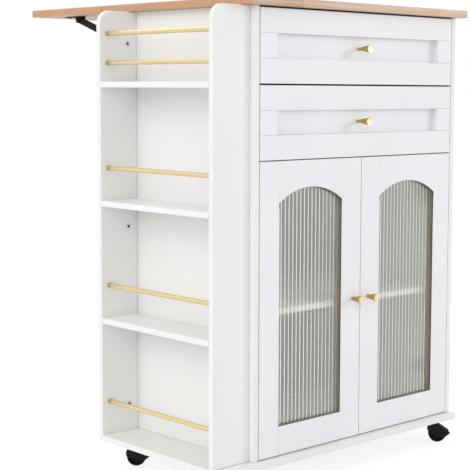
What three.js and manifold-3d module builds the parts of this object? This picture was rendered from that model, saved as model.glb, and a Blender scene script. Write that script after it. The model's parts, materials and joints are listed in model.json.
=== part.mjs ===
// Drop leaf kitchen island: a white board cabinet on casters, with two drawers over two glazed doors,
// an open spice rack on its left end, and a wooden top whose rear leaf folds down on two slotted stays.
// Millimetres, +Z up. The pieces are laid out with X = 0 on the cabinet's left face, Y = 0 on its front
// edge and Z = 0 on the floor. Last, the whole is moved so that its origin is on the floor under its middle.
import * as THREE from 'three';
import { mergeVertices } from 'three/addons/utils/BufferGeometryUtils.js';
import Module from 'manifold-3d';

const wasm = await Module();
wasm.setup();

// Cabinet
const CABINET_WIDTH = 572;
const CABINET_DEPTH = 357;
const CABINET_HEIGHT = 850; // underside of the base board to underside of the top
const BOARD = 12;
const BASE_FRONT_OVERHANG = 18;
const INNER_SHELF_HEIGHT = 264; // clear height under the shelf in the cupboard
const INNER_SHELF_SETBACK = 22;
const EASE = 0.15; // each board is cut back this much on every side, so that neighbours don't bind
const PIN_CLEARANCE = 0.3; // round a pin in its hole or slot, and between turning pieces

// Top and leaf
const TOP_THICKNESS = 15;
const TOP_DEPTH = 450;
const TOP_SIDE_OVERHANG = 19;
const TOP_FRONT_OVERHANG = 16;
const LEAF_DEPTH = 250;
const LEAF_SEAM = 1.5;
const LEAF_HINGE_LENGTH = 500;
const LEAF_HINGE_WING = 22;
const LEAF_HINGE_SHEET = 1.5;
const LEAF_HINGE_BARREL = 6.5;
const LEAF_HINGE_PIN = 3;
const LEAF_HINGE_KNUCKLES = 11;

// Stays that hold the leaf up
const STAY_INSET = 20; // from the cabinet's end faces to the middle of a stay
const STAY_REACH = 128; // from the leaf's hinge to the stay's upper pivot
const STAY_SLOPE = 18.5; // degrees, with the leaf up
const STAY_WIDTH = 10;
const STAY_HEIGHT = 11;
const STAY_SHEET = 1.5;
const STAY_PIN = 5;
const STAY_PIN_HEAD = 8;
const STAY_WALL_DISTANCE = 14; // from the cabinet's back to the lower pin at both ends of its slot
const STAY_PLATE_TAIL = 45; // how far the plate under the leaf runs on past the pivot
const STAY_EAR_LENGTH = 18;
const STAY_BRACKET_SHEET = 1.6;
const STAY_GUIDE_DEPTH = 28;
const STAY_GUIDE_FLANGE = 16;
const STAY_GUIDE_GAP = 1; // between the strut and the guide's web
const STAY_SLOT_MARGIN = 7; // of the guide beyond each end of its slot
const STAY_EAR_GAP = 0.6; // between the strut and each ear of its plate
const STAY_EAR_RIM = 3.2; // of an ear round its hole

// Spice rack
const RACK_DEPTH = 89;
const RACK_SETBACK = 12; // of its front panel behind the cabinet's front edge
const RACK_CORNER_RADIUS = 26;
const RACK_TOP_BAY = 137; // clear height over the upper shelf
const RACK_BAY = 220; // of the two bays below it; the bottom bay takes what is left
const RAIL_DIAMETER = 9;
const RAIL_WALL = 1;
const RAIL_INSET = 18; // from the rack's open side to a rail's axis
const BOTTOM_RAIL_HEIGHT = 67.5; // of a rail's axis above the board below it
const SHELF_RAIL_HEIGHT = 63.5;
const TOP_BAY_LOW_RAIL_HEIGHT = 36;
const TOP_BAY_HIGH_RAIL_HEIGHT = 92.5;

// Drawer fronts and doors, all set in flush with the cabinet's front edge
const FRONT_THICKNESS = 16;
const FRONT_GAP = 2;
const DRAWER_GAP = 3; // over each drawer
const DRAWER_PANEL_THICKNESS = 3; // of the thin panel at the back of a drawer front's frame
const DRAWER_FRONT_HEIGHT = 137;
const DRAWER_STILE = 43;
const DRAWER_RAIL = 45.5;
const DOOR_STILE = 50; // on the hinge side
const DOOR_MEETING_STILE = 54;
const DOOR_TOP_RAIL = 51;
const DOOR_BOTTOM_RAIL = 55;
const ARCH_RISE = 27;
const GLASS_THICKNESS = 4;
const GLASS_REVEAL = 4.5; // from a door's front face to its glass
const GLASS_GROOVE = 8; // how far the glass runs into the frame all round
const GLASS_CLEARANCE = 0.5; // round the glass at the bottom of its groove
const FLUTE_PITCH = 10.2;
const FLUTE_DEPTH = 1.8;

// Concealed door hinges
const HINGE_HEIGHT = 90; // from a door's end to the middle of its hinge
const HINGE_DOOR_GAP = 2; // behind the closed door
const HINGE_PLATE_SETBACK = 40; // from the cabinet's front edge
const HINGE_PLATE_LENGTH = 40;
const HINGE_PLATE_HEIGHT = 32;
const HINGE_PLATE_THICKNESS = 3;
const HINGE_ARM_DEPTH = 11; // from the side panel to the arm's far face
const HINGE_ARM_HEIGHT = 12;
const HINGE_ARM_TAIL = 4; // past the plate
const HINGE_NOSE_REACH = 30; // from the side panel
const HINGE_NOSE_LENGTH = 9;
const HINGE_NOSE_HEIGHT = 16;

// Drawer boxes and runners
const DRAWER_BOX_HEIGHT = 90;
const DRAWER_BACK_SPACE = 29; // from a drawer box to the cabinet's back panel
const DRAWER_BOX_LIFT = 14; // of the box above its front's lower edge
const DRAWER_SIDE_CLEARANCE = 12.5;
const DRAWER_BOTTOM_THICKNESS = 4;
const DRAWER_BOTTOM_LIFT = 8;
const RUNNER_HEIGHT = 28;
const RUNNER_DEPTH = 10;
const RUNNER_SHEET = 1.2;
const RUNNER_SETBACK = 20;

// Knobs
const KNOB_LENGTH = 25;
const KNOB_FOOT_DIAMETER = 7;
const KNOB_FACE_DIAMETER = 16;
const KNOB_STEM_DIAMETER = 6; // where the knob stands on a drawer's sunk panel
const KNOB_STEM_LENGTH = 8;
const KNOB_EDGE_DISTANCE = 21; // from a door's meeting edge
const KNOB_RIM = 3; // length of its straight rim, with the bevels

// Casters
const CASTER_HEIGHT = 50;
const CASTER_INSET = 40; // from the base board's edges to a swivel's axis
const CASTER_TRAIL = 18; // from the swivel's axis to the wheel's axle
const CASTER_HEADING = -44; // degrees from +X to the side where a wheel trails
const CASTER_PLATE = 38;
const CASTER_SHEET = 2;
const CASTER_RACE_DIAMETER = 26;
const CASTER_RACE_GAP = 0.3; // between the race and the fork's crown
const FORK_WHEEL_GAP = 2; // between the wheel and the fork's crown
const FORK_SIDE_GAP = 1; // between the wheel and each leg
const FORK_NOSE = 4; // how far the crown runs on towards the wheel
const FORK_LEG_BACK = 1; // of each leg behind the wheel
const FORK_ROD_BOSS = 6.6; // diameter of a leg's end round the pedal's rod
const FORK_LEG_FOOT = 12; // length of its straight lower edge, from there back under the wheel
const WHEEL_DIAMETER = 38;
const WHEEL_WIDTH = 17;
const WHEEL_SHOULDER = 3; // of the tread's rounded edges
const AXLE_DIAMETER = 6;
const AXLE_CLEARANCE = 0.2;
const AXLE_END = 1; // how far an axle or rod stands out of a leg
const PEDAL_TOE = 14; // of its pad in front of its rod
const PEDAL_HEEL = 4; // behind it, where the pad bears on the wheel when pressed
const PEDAL_WIDTH = 16;
const PEDAL_SHEET = 2.4;
const PEDAL_DROP = 3.8; // from its rod's axis to the pad's underside
const PEDAL_HUB_DIAMETER = 6.4;
const PEDAL_ROD_DIAMETER = 3.2;
const PEDAL_REACH = 22.8; // of its rod in front of the wheel's axle
const PEDAL_RISE = 2; // above the axle
const PEDAL_TILT = 35.5; // degrees above level while the brake is off

const ROUND = 24; // sides of a round piece that shows
const WHEEL_ROUND = 36;
const PIN_ROUND = 12; // sides of a pin, a hole or a hinge's barrel
const DEGREE = Math.PI / 180;

// Places that several pieces share
const baseBottom = CASTER_HEIGHT;
const baseTop = baseBottom + BOARD;
const topUnderside = baseBottom + CABINET_HEIGHT;
const innerLeft = BOARD;
const innerRight = CABINET_WIDTH - BOARD;
const backFace = CABINET_DEPTH - BOARD;
const seamY = TOP_DEPTH - TOP_FRONT_OVERHANG;
const leafHingeY = seamY + LEAF_SEAM / 2;
const leafHingeZ = topUnderside - EASE - LEAF_HINGE_BARREL / 2;

// Materials
const whiteBoard = new THREE.MeshStandardMaterial({ color: 0xf1f1ef, roughness: 0.45 });
const wood = new THREE.MeshStandardMaterial({ color: 0xd9ae86, roughness: 0.5 });
const brass = new THREE.MeshStandardMaterial({ color: 0xe0bf78, roughness: 0.3, metalness: 0.9 });
const blackSteel = new THREE.MeshStandardMaterial({ color: 0x1f1f20, roughness: 0.5, metalness: 0.4 });
const zinc = new THREE.MeshStandardMaterial({ color: 0xb9babb, roughness: 0.35, metalness: 0.9 });
const blackPlastic = new THREE.MeshStandardMaterial({ color: 0x161616, roughness: 0.55 });
const drawerBoard = new THREE.MeshStandardMaterial({ color: 0xe9e7e2, roughness: 0.6 });
const reededGlass = new THREE.MeshStandardMaterial({
  color: 0xc6ccc6,
  roughness: 0.15,
  transparent: true,
  opacity: 0.5,
});

// ---- Shapes ----

const island = new THREE.Group();

function piece(parent, name, geometry, material) {
  const mesh = new THREE.Mesh(geometry, material);
  mesh.name = name;
  parent.add(mesh);
  return mesh;
}

function group(parent, x, y, z) {
  const made = new THREE.Group();
  made.position.set(x, y, z);
  parent.add(made);
  return made;
}

function box([x0, x1], [y0, y1], [z0, z1]) {
  const geometry = new THREE.BoxGeometry(x1 - x0, y1 - y0, z1 - z0);
  return geometry.translate((x0 + x1) / 2, (y0 + y1) / 2, (z0 + z1) / 2);
}

const eased = ([low, high]) => [low + EASE, high - EASE];

// A plain board between the given planes, eased on every side.
function board(parent, name, material, x, y, z) {
  const ranges = [x, y, z].map(eased);
  const sizes = ranges.map(([low, high]) => high - low);
  const mesh = piece(parent, name, new THREE.BoxGeometry(...sizes), material);
  mesh.position.set(...ranges.map(([low, high]) => (low + high) / 2));
  return mesh;
}

// Rods along one axis, about the point where the other two coordinates are given.
function rodAlongX(radius, [x0, x1], y, z) {
  const geometry = new THREE.CylinderGeometry(radius, radius, x1 - x0, PIN_ROUND);
  return geometry.rotateZ(Math.PI / 2).translate((x0 + x1) / 2, y, z);
}

function rodAlongY(radius, x, [y0, y1], z, sides = PIN_ROUND) {
  return new THREE.CylinderGeometry(radius, radius, y1 - y0, sides).translate(x, (y0 + y1) / 2, z);
}

function rodAlongZ(radius, x, y, [z0, z1]) {
  const geometry = new THREE.CylinderGeometry(radius, radius, z1 - z0, ROUND);
  return geometry.rotateX(Math.PI / 2).translate(x, y, (z0 + z1) / 2);
}

function extrude(shape, depth) {
  return new THREE.ExtrudeGeometry(shape, { depth, bevelEnabled: false, curveSegments: 12 });
}

// A shape drawn in X and Z, as seen from the front, made thick along Y.
function slabXZ(shape, [y0, y1]) {
  return extrude(shape, y1 - y0).rotateX(Math.PI / 2).translate(0, y1, 0);
}

// A shape drawn in Y and Z, made thick along X.
function slabYZ(shape, [x0, x1]) {
  const turn = new THREE.Matrix4().makeBasis(
    new THREE.Vector3(0, 1, 0),
    new THREE.Vector3(0, 0, 1),
    new THREE.Vector3(1, 0, 0),
  );
  return extrude(shape, x1 - x0).applyMatrix4(turn).translate(x0, 0, 0);
}

function rectangle([x0, x1], [y0, y1]) {
  const points = [[x0, y0], [x1, y0], [x1, y1], [x0, y1]];
  return new THREE.Shape(points.map(([x, y]) => new THREE.Vector2(x, y)));
}

// ---- Joins and cuts ----

function solidOf(geometry) {
  const bare = geometry.clone();
  bare.deleteAttribute('normal');
  bare.deleteAttribute('uv');
  const merged = mergeVertices(bare, 1e-4);
  return new wasm.Manifold(new wasm.Mesh({
    numProp: 3,
    vertProperties: merged.attributes.position.array,
    triVerts: new Uint32Array(merged.index.array),
  }));
}

function geometryOf(solid) {
  const mesh = solid.getMesh();
  const indexed = new THREE.BufferGeometry();
  indexed.setAttribute('position', new THREE.BufferAttribute(mesh.vertProperties, 3));
  indexed.setIndex(new THREE.BufferAttribute(mesh.triVerts, 1));
  const geometry = indexed.toNonIndexed();
  geometry.computeVertexNormals();
  return geometry;
}

function join(...geometries) {
  return geometryOf(geometries.map(solidOf).reduce((whole, next) => whole.add(next)));
}

function cut(geometry, ...tools) {
  return geometryOf(tools.map(solidOf).reduce((whole, next) => whole.subtract(next), solidOf(geometry)));
}

// ---- Cabinet ----

// The base board runs on under the rack, and is notched there for the rack's rear panel.
function makeBaseBoard() {
  const left = EASE - RACK_DEPTH;
  const right = CABINET_WIDTH - EASE;
  const front = EASE - BASE_FRONT_OVERHANG;
  const back = CABINET_DEPTH - EASE;
  const notchBack = backFace - EASE;
  const corners = [
    [left, front], [right, front], [right, back], [EASE, back], [EASE, notchBack], [left, notchBack],
  ];
  const outline = new THREE.Shape(corners.map(([x, y]) => new THREE.Vector2(x, y)));
  const slab = extrude(outline, BOARD - 2 * EASE).translate(0, 0, EASE);
  piece(island, 'base_board', slab, whiteBoard).position.z = baseBottom;
}

const underTop = [baseTop, topUnderside];
makeBaseBoard();
board(island, 'left_side_panel', whiteBoard, [0, BOARD], [0, CABINET_DEPTH], underTop);
board(island, 'right_side_panel', whiteBoard, [innerRight, CABINET_WIDTH], [0, CABINET_DEPTH], underTop);
board(island, 'back_panel', whiteBoard, [innerLeft, innerRight], [backFace, CABINET_DEPTH], underTop);

// Fronts from the top down: two drawers, then the doors, each a gap below the one before.
const upperFrontZ = topUnderside - DRAWER_GAP - DRAWER_FRONT_HEIGHT;
const lowerFrontZ = upperFrontZ - DRAWER_GAP - DRAWER_FRONT_HEIGHT;
const doorBottomZ = baseTop + FRONT_GAP;
const doorHeight = lowerFrontZ - FRONT_GAP - doorBottomZ;

// The divider stands behind the gap between the lower drawer and the doors, which close against it.
const dividerMiddle = lowerFrontZ - FRONT_GAP / 2;
board(
  island, 'divider_board', whiteBoard,
  [innerLeft, innerRight],
  [FRONT_THICKNESS + FRONT_GAP / 2, backFace],
  [dividerMiddle - BOARD / 2, dividerMiddle + BOARD / 2],
);
const innerShelfZ = baseTop + INNER_SHELF_HEIGHT;
board(
  island, 'inner_shelf', whiteBoard,
  [innerLeft, innerRight], [INNER_SHELF_SETBACK, backFace], [innerShelfZ, innerShelfZ + BOARD],
);

// ---- Spice rack ----

// A rack panel stands at right angles to the cabinet's side, with its upper outer corner rounded.
function makeRackPanel(name, frontY, bottomZ) {
  const left = EASE - RACK_DEPTH;
  const bottom = bottomZ + EASE;
  const top = topUnderside - EASE;
  const outline = new THREE.Shape();
  outline.moveTo(left, bottom);
  outline.lineTo(-EASE, bottom);
  outline.lineTo(-EASE, top);
  outline.absarc(
    left + RACK_CORNER_RADIUS, top - RACK_CORNER_RADIUS, RACK_CORNER_RADIUS, Math.PI / 2, Math.PI, false,
  );
  piece(island, name, slabXZ(outline, eased([frontY, frontY + BOARD])), whiteBoard);
}

const rackInside = [RACK_SETBACK + BOARD, backFace];

function makeRackShelf(name, z) {
  board(island, name, whiteBoard, [-RACK_DEPTH, 0], rackInside, [z, z + BOARD]);
}

// A rail is a thin tube between the two rack panels.
function makeRail(name, z) {
  const [front, back] = eased(rackInside);
  const axisX = RAIL_INSET - RACK_DEPTH;
  const tube = rodAlongY(RAIL_DIAMETER / 2, axisX, [front, back], z, ROUND);
  const bore = rodAlongY(RAIL_DIAMETER / 2 - RAIL_WALL, axisX, [front - 1, back + 1], z, ROUND);
  piece(island, name, cut(tube, bore), brass);
}

const upperShelfZ = topUnderside - RACK_TOP_BAY - BOARD;
const middleShelfZ = upperShelfZ - RACK_BAY - BOARD;
const lowerShelfZ = middleShelfZ - RACK_BAY - BOARD;
makeRackPanel('front_rack_panel', RACK_SETBACK, baseTop);
makeRackPanel('rear_rack_panel', backFace, baseBottom);
makeRackShelf('lower_rack_shelf', lowerShelfZ);
makeRackShelf('middle_rack_shelf', middleShelfZ);
makeRackShelf('upper_rack_shelf', upperShelfZ);
makeRail('bottom_bay_rail', baseTop + BOTTOM_RAIL_HEIGHT);
makeRail('lower_shelf_rail', lowerShelfZ + BOARD + SHELF_RAIL_HEIGHT);
makeRail('middle_shelf_rail', middleShelfZ + BOARD + SHELF_RAIL_HEIGHT);
makeRail('upper_shelf_low_rail', upperShelfZ + BOARD + TOP_BAY_LOW_RAIL_HEIGHT);
makeRail('upper_shelf_high_rail', upperShelfZ + BOARD + TOP_BAY_HIGH_RAIL_HEIGHT);

// ---- Top, leaf and the hinge between them ----

const topWidth = [-TOP_SIDE_OVERHANG, CABINET_WIDTH + TOP_SIDE_OVERHANG];
const topLevel = [topUnderside, topUnderside + TOP_THICKNESS];
const leafFrontY = seamY + LEAF_SEAM;
board(island, 'worktop', wood, topWidth, [-TOP_FRONT_OVERHANG, seamY], topLevel);
board(island, 'drop_leaf', wood, topWidth, [leafFrontY, leafFrontY + LEAF_DEPTH], topLevel);

// One wing of the long hinge, in a frame on its axis: side -1 under the worktop, +1 under the leaf.
function leafHingeWing(side) {
  const barrel = LEAF_HINGE_BARREL / 2;
  const knuckle = LEAF_HINGE_LENGTH / LEAF_HINGE_KNUCKLES;
  const wingTop = barrel - EASE;
  const level = [wingTop - LEAF_HINGE_SHEET, wingTop];
  const half = LEAF_HINGE_LENGTH / 2 - PIN_CLEARANCE;
  const across = (near, far) => (side < 0 ? [-far, -near] : [near, far]);
  const parts = [box([-half, half], across(barrel + PIN_CLEARANCE, LEAF_HINGE_WING), level)];
  for (let i = 0; i < LEAF_HINGE_KNUCKLES; i++) {
    if ((i % 2 === 0) !== (side < 0)) continue;
    const start = -LEAF_HINGE_LENGTH / 2 + i * knuckle;
    const span = [start + PIN_CLEARANCE, start + knuckle - PIN_CLEARANCE];
    parts.push(rodAlongX(barrel, span, 0, 0));
    parts.push(box(span, across(0, barrel + 1), level));
  }
  const pin = (radius, reach) => rodAlongX(radius, [-reach, reach], 0, 0);
  if (side < 0) return join(...parts, pin(LEAF_HINGE_PIN / 2, half));
  return cut(join(...parts), pin(LEAF_HINGE_PIN / 2 + PIN_CLEARANCE, half + 1));
}

const leafHinge = group(island, CABINET_WIDTH / 2, leafHingeY, leafHingeZ);
piece(leafHinge, 'leaf_hinge_fixed_wing', leafHingeWing(-1), zinc);
piece(leafHinge, 'leaf_hinge_moving_wing', leafHingeWing(1), zinc);

// ---- Stays ----
// Each stay is a channel strut. Its upper end pivots on a plate under the leaf, and a pin at its lower
// end slides down a bowed slot in a guide on the cabinet's back while the leaf folds down.

const stayPivotDrop = STAY_BRACKET_SHEET + STAY_HEIGHT / 2 + 1; // of the upper pivot below the leaf
const pivotFromHinge = {
  y: STAY_REACH,
  z: topUnderside - stayPivotDrop - leafHingeZ,
};
const pinY = CABINET_DEPTH + STAY_WALL_DISTANCE;
const stayLength = (leafHingeY + pivotFromHinge.y - pinY) / Math.cos(STAY_SLOPE * DEGREE);
const foldedPivotY = leafHingeY + pivotFromHinge.z;
const foldedSlope = Math.acos((foldedPivotY - pinY) / stayLength) / DEGREE;

// The stay's upper pivot when the leaf has folded down by a share of its quarter turn.
function pivotAt(share) {
  const turn = 90 * share * DEGREE;
  const { y, z } = pivotFromHinge;
  return [
    leafHingeY + y * Math.cos(turn) + z * Math.sin(turn),
    leafHingeZ - y * Math.sin(turn) + z * Math.cos(turn),
  ];
}

// The lower pin there: the strut's slope grows in step with the leaf's fold.
function pinAt(share) {
  const slope = (STAY_SLOPE + (foldedSlope - STAY_SLOPE) * share) * DEGREE;
  const [y, z] = pivotAt(share);
  return new THREE.Vector2(y - stayLength * Math.cos(slope), z - stayLength * Math.sin(slope));
}

// The slot follows the pin's whole path, with round ends.
function slotOutline(radius) {
  const steps = 16;
  const path = Array.from({ length: steps + 1 }, (_, i) => pinAt(i / steps));
  const along = path.map((point, i) => {
    const before = path[Math.max(i - 1, 0)];
    const after = path[Math.min(i + 1, steps)];
    return Math.atan2(after.y - before.y, after.x - before.x);
  });
  const beside = (i, angle) => new THREE.Vector2(
    path[i].x + radius * Math.cos(angle),
    path[i].y + radius * Math.sin(angle),
  );
  const outline = [];
  for (let i = 0; i <= steps; i++) outline.push(beside(i, along[i] - Math.PI / 2));
  for (let k = 1; k < 6; k++) outline.push(beside(steps, along[steps] - Math.PI / 2 + (k * Math.PI) / 6));
  for (let i = steps; i >= 0; i--) outline.push(beside(i, along[i] + Math.PI / 2));
  for (let k = 1; k < 6; k++) outline.push(beside(0, along[0] + Math.PI / 2 + (k * Math.PI) / 6));
  return outline;
}

// Everything on a stay is placed from its middle plane; inward is +1 on the left stay, -1 on the right.
function makeStay(sideName, middleX, inward) {
  const stay = group(island, middleX, 0, 0);
  const towards = (near, far) => (inward > 0 ? [near, far] : [-far, -near]);
  const halfWidth = STAY_WIDTH / 2;
  const pin = STAY_PIN / 2;
  const hole = pin + PIN_CLEARANCE;
  const head = STAY_PIN_HEAD / 2;

  // Guide: a flange on the cabinet's back and a web with the slot, beside the strut.
  const webNear = halfWidth + STAY_GUIDE_GAP;
  const webFar = webNear + STAY_BRACKET_SHEET;
  const margin = hole + STAY_SLOT_MARGIN;
  const guideZ = [pinAt(1).y - margin, pinAt(0).y + margin];
  const wall = CABINET_DEPTH + EASE;
  const web = slabYZ(rectangle([wall, CABINET_DEPTH + STAY_GUIDE_DEPTH], guideZ), towards(webNear, webFar));
  const flange = box(
    towards(webNear, webNear + STAY_GUIDE_FLANGE), [wall, wall + STAY_BRACKET_SHEET], guideZ,
  );
  const slot = slabYZ(new THREE.Shape(slotOutline(hole)), towards(webNear - 1, webFar + 1));
  piece(stay, `${sideName}_stay_guide`, cut(join(web, flange), slot), blackSteel);

  // Plate under the leaf, with an ear on each side of the strut.
  const [pivotY, pivotZ] = pivotAt(0);
  const plateTop = topUnderside - EASE;
  const earNear = halfWidth + STAY_EAR_GAP;
  const earFar = earNear + STAY_BRACKET_SHEET;
  const plate = box(
    [-earFar, earFar],
    [pivotY - STAY_EAR_LENGTH / 2, pivotY + STAY_PLATE_TAIL],
    [plateTop - STAY_BRACKET_SHEET, plateTop],
  );
  const ear = new THREE.Shape();
  const earRadius = hole + STAY_EAR_RIM;
  ear.moveTo(pivotY + STAY_EAR_LENGTH / 2, plateTop - STAY_BRACKET_SHEET / 2);
  ear.lineTo(pivotY - STAY_EAR_LENGTH / 2, plateTop - STAY_BRACKET_SHEET / 2);
  ear.absarc(pivotY, pivotZ, earRadius, Math.PI, 2 * Math.PI, false);
  const ears = [[-earFar, -earNear], [earNear, earFar]].map((x) => slabYZ(ear, x));
  const earHole = rodAlongX(hole, [-earFar - 1, earFar + 1], pivotY, pivotZ);
  piece(stay, `${sideName}_stay_plate`, cut(join(plate, ...ears), earHole), blackSteel);

  // Strut, drawn level from its upper pivot at the origin to its lower pin, then tilted into place.
  const halfHeight = STAY_HEIGHT / 2;
  const outline = new THREE.Shape();
  outline.absarc(0, 0, halfHeight, -Math.PI / 2, Math.PI / 2, false);
  outline.absarc(-stayLength, 0, halfHeight, Math.PI / 2, 1.5 * Math.PI, false);
  const hollow = box(
    [STAY_SHEET - halfWidth, halfWidth - STAY_SHEET],
    [-stayLength - STAY_HEIGHT, STAY_HEIGHT],
    [-STAY_HEIGHT, halfHeight - STAY_SHEET],
  );
  const channel = cut(slabYZ(outline, [-halfWidth, halfWidth]), hollow);
  const headAt = (near) => [near + PIN_CLEARANCE, near + PIN_CLEARANCE + STAY_BRACKET_SHEET];
  const [upperHeadNear, upperEnd] = headAt(earFar);
  const [lowerHeadNear, lowerEnd] = headAt(webFar);
  const pins = [
    rodAlongX(pin, [-upperEnd, upperEnd], 0, 0),
    rodAlongX(head, [upperHeadNear, upperEnd], 0, 0),
    rodAlongX(head, [-upperEnd, -upperHeadNear], 0, 0),
    rodAlongX(pin, towards(-halfWidth, lowerEnd), -stayLength, 0),
    rodAlongX(head, towards(lowerHeadNear, lowerEnd), -stayLength, 0),
  ];
  const strut = piece(stay, `${sideName}_stay_strut`, join(channel, ...pins), blackSteel);
  strut.position.set(0, pivotY, pivotZ);
  strut.rotation.x = STAY_SLOPE * DEGREE;
}

makeStay('left', STAY_INSET, 1);
makeStay('right', CABINET_WIDTH - STAY_INSET, -1);

// ---- Knobs ----

// A turned cone, narrow at its foot and wide at the tip, on a stem or on its foot. It points along -Y.
function knobGeometry(stemLength) {
  const stem = KNOB_STEM_DIAMETER / 2;
  const foot = KNOB_FOOT_DIAMETER / 2;
  const face = KNOB_FACE_DIAMETER / 2;
  const tip = stemLength + KNOB_LENGTH;
  const base = stemLength > 0 ? [[stem, 0], [stem, stemLength]] : [];
  const profile = [
    [0, 0], ...base, [foot, stemLength],
    [face - 1, tip - KNOB_RIM - 1], [face, tip - KNOB_RIM], [face, tip - 1],
    [face - 0.8, tip], [0, tip],
  ];
  const geometry = new THREE.LatheGeometry(profile.map(([r, y]) => new THREE.Vector2(r, y)), ROUND);
  return geometry.rotateX(Math.PI);
}

function makeKnob(parent, name, x, standsAtY, z, stemLength) {
  piece(parent, name, knobGeometry(stemLength), brass).position.set(x, standsAtY - EASE, z);
}

// ---- Drawers and their runners ----

const frontLeft = innerLeft + FRONT_GAP;
const frontRight = innerRight - FRONT_GAP;
const drawerBackY = backFace - DRAWER_BACK_SPACE;

const drawerPanelY = FRONT_THICKNESS - DRAWER_PANEL_THICKNESS;

// A frame of stiles and rails round a thin panel, which lies at the back of it.
function drawerFrontGeometry() {
  const slab = box([frontLeft, frontRight], [0, FRONT_THICKNESS], [0, DRAWER_FRONT_HEIGHT]);
  const recess = box(
    [frontLeft + DRAWER_STILE, frontRight - DRAWER_STILE],
    [-1, drawerPanelY],
    [DRAWER_RAIL, DRAWER_FRONT_HEIGHT - DRAWER_RAIL],
  );
  return cut(slab, recess);
}

// Two sides and a back, with a bottom let in between them. The front closes the box.
function drawerBoxGeometry() {
  const left = innerLeft + DRAWER_SIDE_CLEARANCE;
  const right = innerRight - DRAWER_SIDE_CLEARANCE;
  const front = FRONT_THICKNESS + EASE;
  const block = box([left, right], [front, drawerBackY], [0, DRAWER_BOX_HEIGHT]);
  const inside = [[left + BOARD, right - BOARD], [front - 1, drawerBackY - BOARD]];
  const room = box(...inside, [DRAWER_BOTTOM_LIFT + DRAWER_BOTTOM_THICKNESS, DRAWER_BOX_HEIGHT + 1]);
  const under = box(...inside, [-1, DRAWER_BOTTOM_LIFT]);
  return cut(block, room, under);
}

function makeDrawer(level, z) {
  const drawer = group(island, 0, 0, z);
  piece(drawer, `${level}_drawer_front`, drawerFrontGeometry(), whiteBoard);
  const boxPiece = piece(drawer, `${level}_drawer_box`, drawerBoxGeometry(), drawerBoard);
  boxPiece.position.z = DRAWER_BOX_LIFT;
  makeKnob(
    drawer, `${level}_drawer_knob`,
    CABINET_WIDTH / 2, drawerPanelY, DRAWER_FRONT_HEIGHT / 2, KNOB_STEM_LENGTH,
  );
}

// A runner is a C of bent steel on the side panel, open towards the drawer, and as long as its box.
function makeRunner(name, wallX, inward, z) {
  const depth = (far) => (inward > 0 ? [EASE, far] : [-far, -EASE]);
  const length = [RUNNER_SETBACK, RUNNER_SETBACK + drawerBackY - FRONT_THICKNESS];
  const web = box(depth(RUNNER_SHEET), length, [0, RUNNER_HEIGHT]);
  const foot = box(depth(RUNNER_DEPTH), length, [0, RUNNER_SHEET]);
  const lip = box(depth(RUNNER_DEPTH), length, [RUNNER_HEIGHT - RUNNER_SHEET, RUNNER_HEIGHT]);
  piece(island, name, join(web, foot, lip), zinc).position.set(wallX, 0, z);
}

for (const [level, z] of [['upper', upperFrontZ], ['lower', lowerFrontZ]]) {
  makeDrawer(level, z);
  const runnerZ = z + DRAWER_BOX_LIFT + DRAWER_BOTTOM_LIFT;
  makeRunner(`${level}_left_runner`, innerLeft, 1, runnerZ);
  makeRunner(`${level}_right_runner`, innerRight, -1, runnerZ);
}

// ---- Doors and their hinges ----

const doorWidth = (innerRight - innerLeft - 3 * FRONT_GAP) / 2;
const openingWidth = doorWidth - DOOR_STILE - DOOR_MEETING_STILE;
const openingTop = doorHeight - DOOR_TOP_RAIL;

// The glazed opening: square at the foot, with a flat arch that springs from a corner on each stile.
function archedOpening(left) {
  const half = openingWidth / 2;
  const radius = (half ** 2 + ARCH_RISE ** 2) / (2 * ARCH_RISE);
  const spring = Math.asin(half / radius);
  const outline = new THREE.Shape();
  outline.moveTo(left, DOOR_BOTTOM_RAIL);
  outline.lineTo(left + openingWidth, DOOR_BOTTOM_RAIL);
  outline.absarc(left + half, openingTop - radius, radius, Math.PI / 2 - spring, Math.PI / 2 + spring, false);
  return outline;
}

// The glass is held in a groove that runs round inside the frame.
const grooveY = [GLASS_REVEAL, GLASS_REVEAL + GLASS_THICKNESS];
const grooveZ = [DOOR_BOTTOM_RAIL - GLASS_GROOVE, openingTop + GLASS_GROOVE];
const grooveWidth = openingWidth + 2 * GLASS_GROOVE;

function doorFrameGeometry(openingLeft) {
  const slab = box([0, doorWidth], [0, FRONT_THICKNESS], [0, doorHeight]);
  const opening = slabXZ(archedOpening(openingLeft), [-1, FRONT_THICKNESS + 1]);
  const groove = box([0, grooveWidth], grooveY, grooveZ).translate(openingLeft - GLASS_GROOVE, 0, 0);
  return cut(slab, opening, groove);
}

// Reeded glass: rounded reeds run up its front face, with a sharp valley between them. Its back is flat.
function glassGeometry() {
  const width = grooveWidth - 2 * GLASS_CLEARANCE;
  const [front, back] = eased(grooveY);
  const stepsPerFlute = 6;
  const steps = Math.round(width / FLUTE_PITCH) * stepsPerFlute;
  const points = [new THREE.Vector2(width, back), new THREE.Vector2(0, back)];
  for (let i = 0; i <= steps; i++) {
    const fromCrest = (2 * (i % stepsPerFlute)) / stepsPerFlute - 1;
    points.push(new THREE.Vector2((width * i) / steps, front + FLUTE_DEPTH * fromCrest ** 2));
  }
  const height = grooveZ[1] - grooveZ[0] - 2 * GLASS_CLEARANCE;
  return extrude(new THREE.Shape(points), height);
}

function makeDoor(side, leftX, openingLeft, knobX) {
  const door = group(island, leftX, 0, doorBottomZ);
  piece(door, `${side}_door_frame`, doorFrameGeometry(openingLeft), whiteBoard);
  const glass = piece(door, `${side}_door_glass`, glassGeometry(), reededGlass);
  glass.position.set(openingLeft - GLASS_GROOVE + GLASS_CLEARANCE, 0, grooveZ[0] + GLASS_CLEARANCE);
  makeKnob(door, `${side}_door_knob`, knobX, 0, doorHeight / 2, 0);
}

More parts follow.
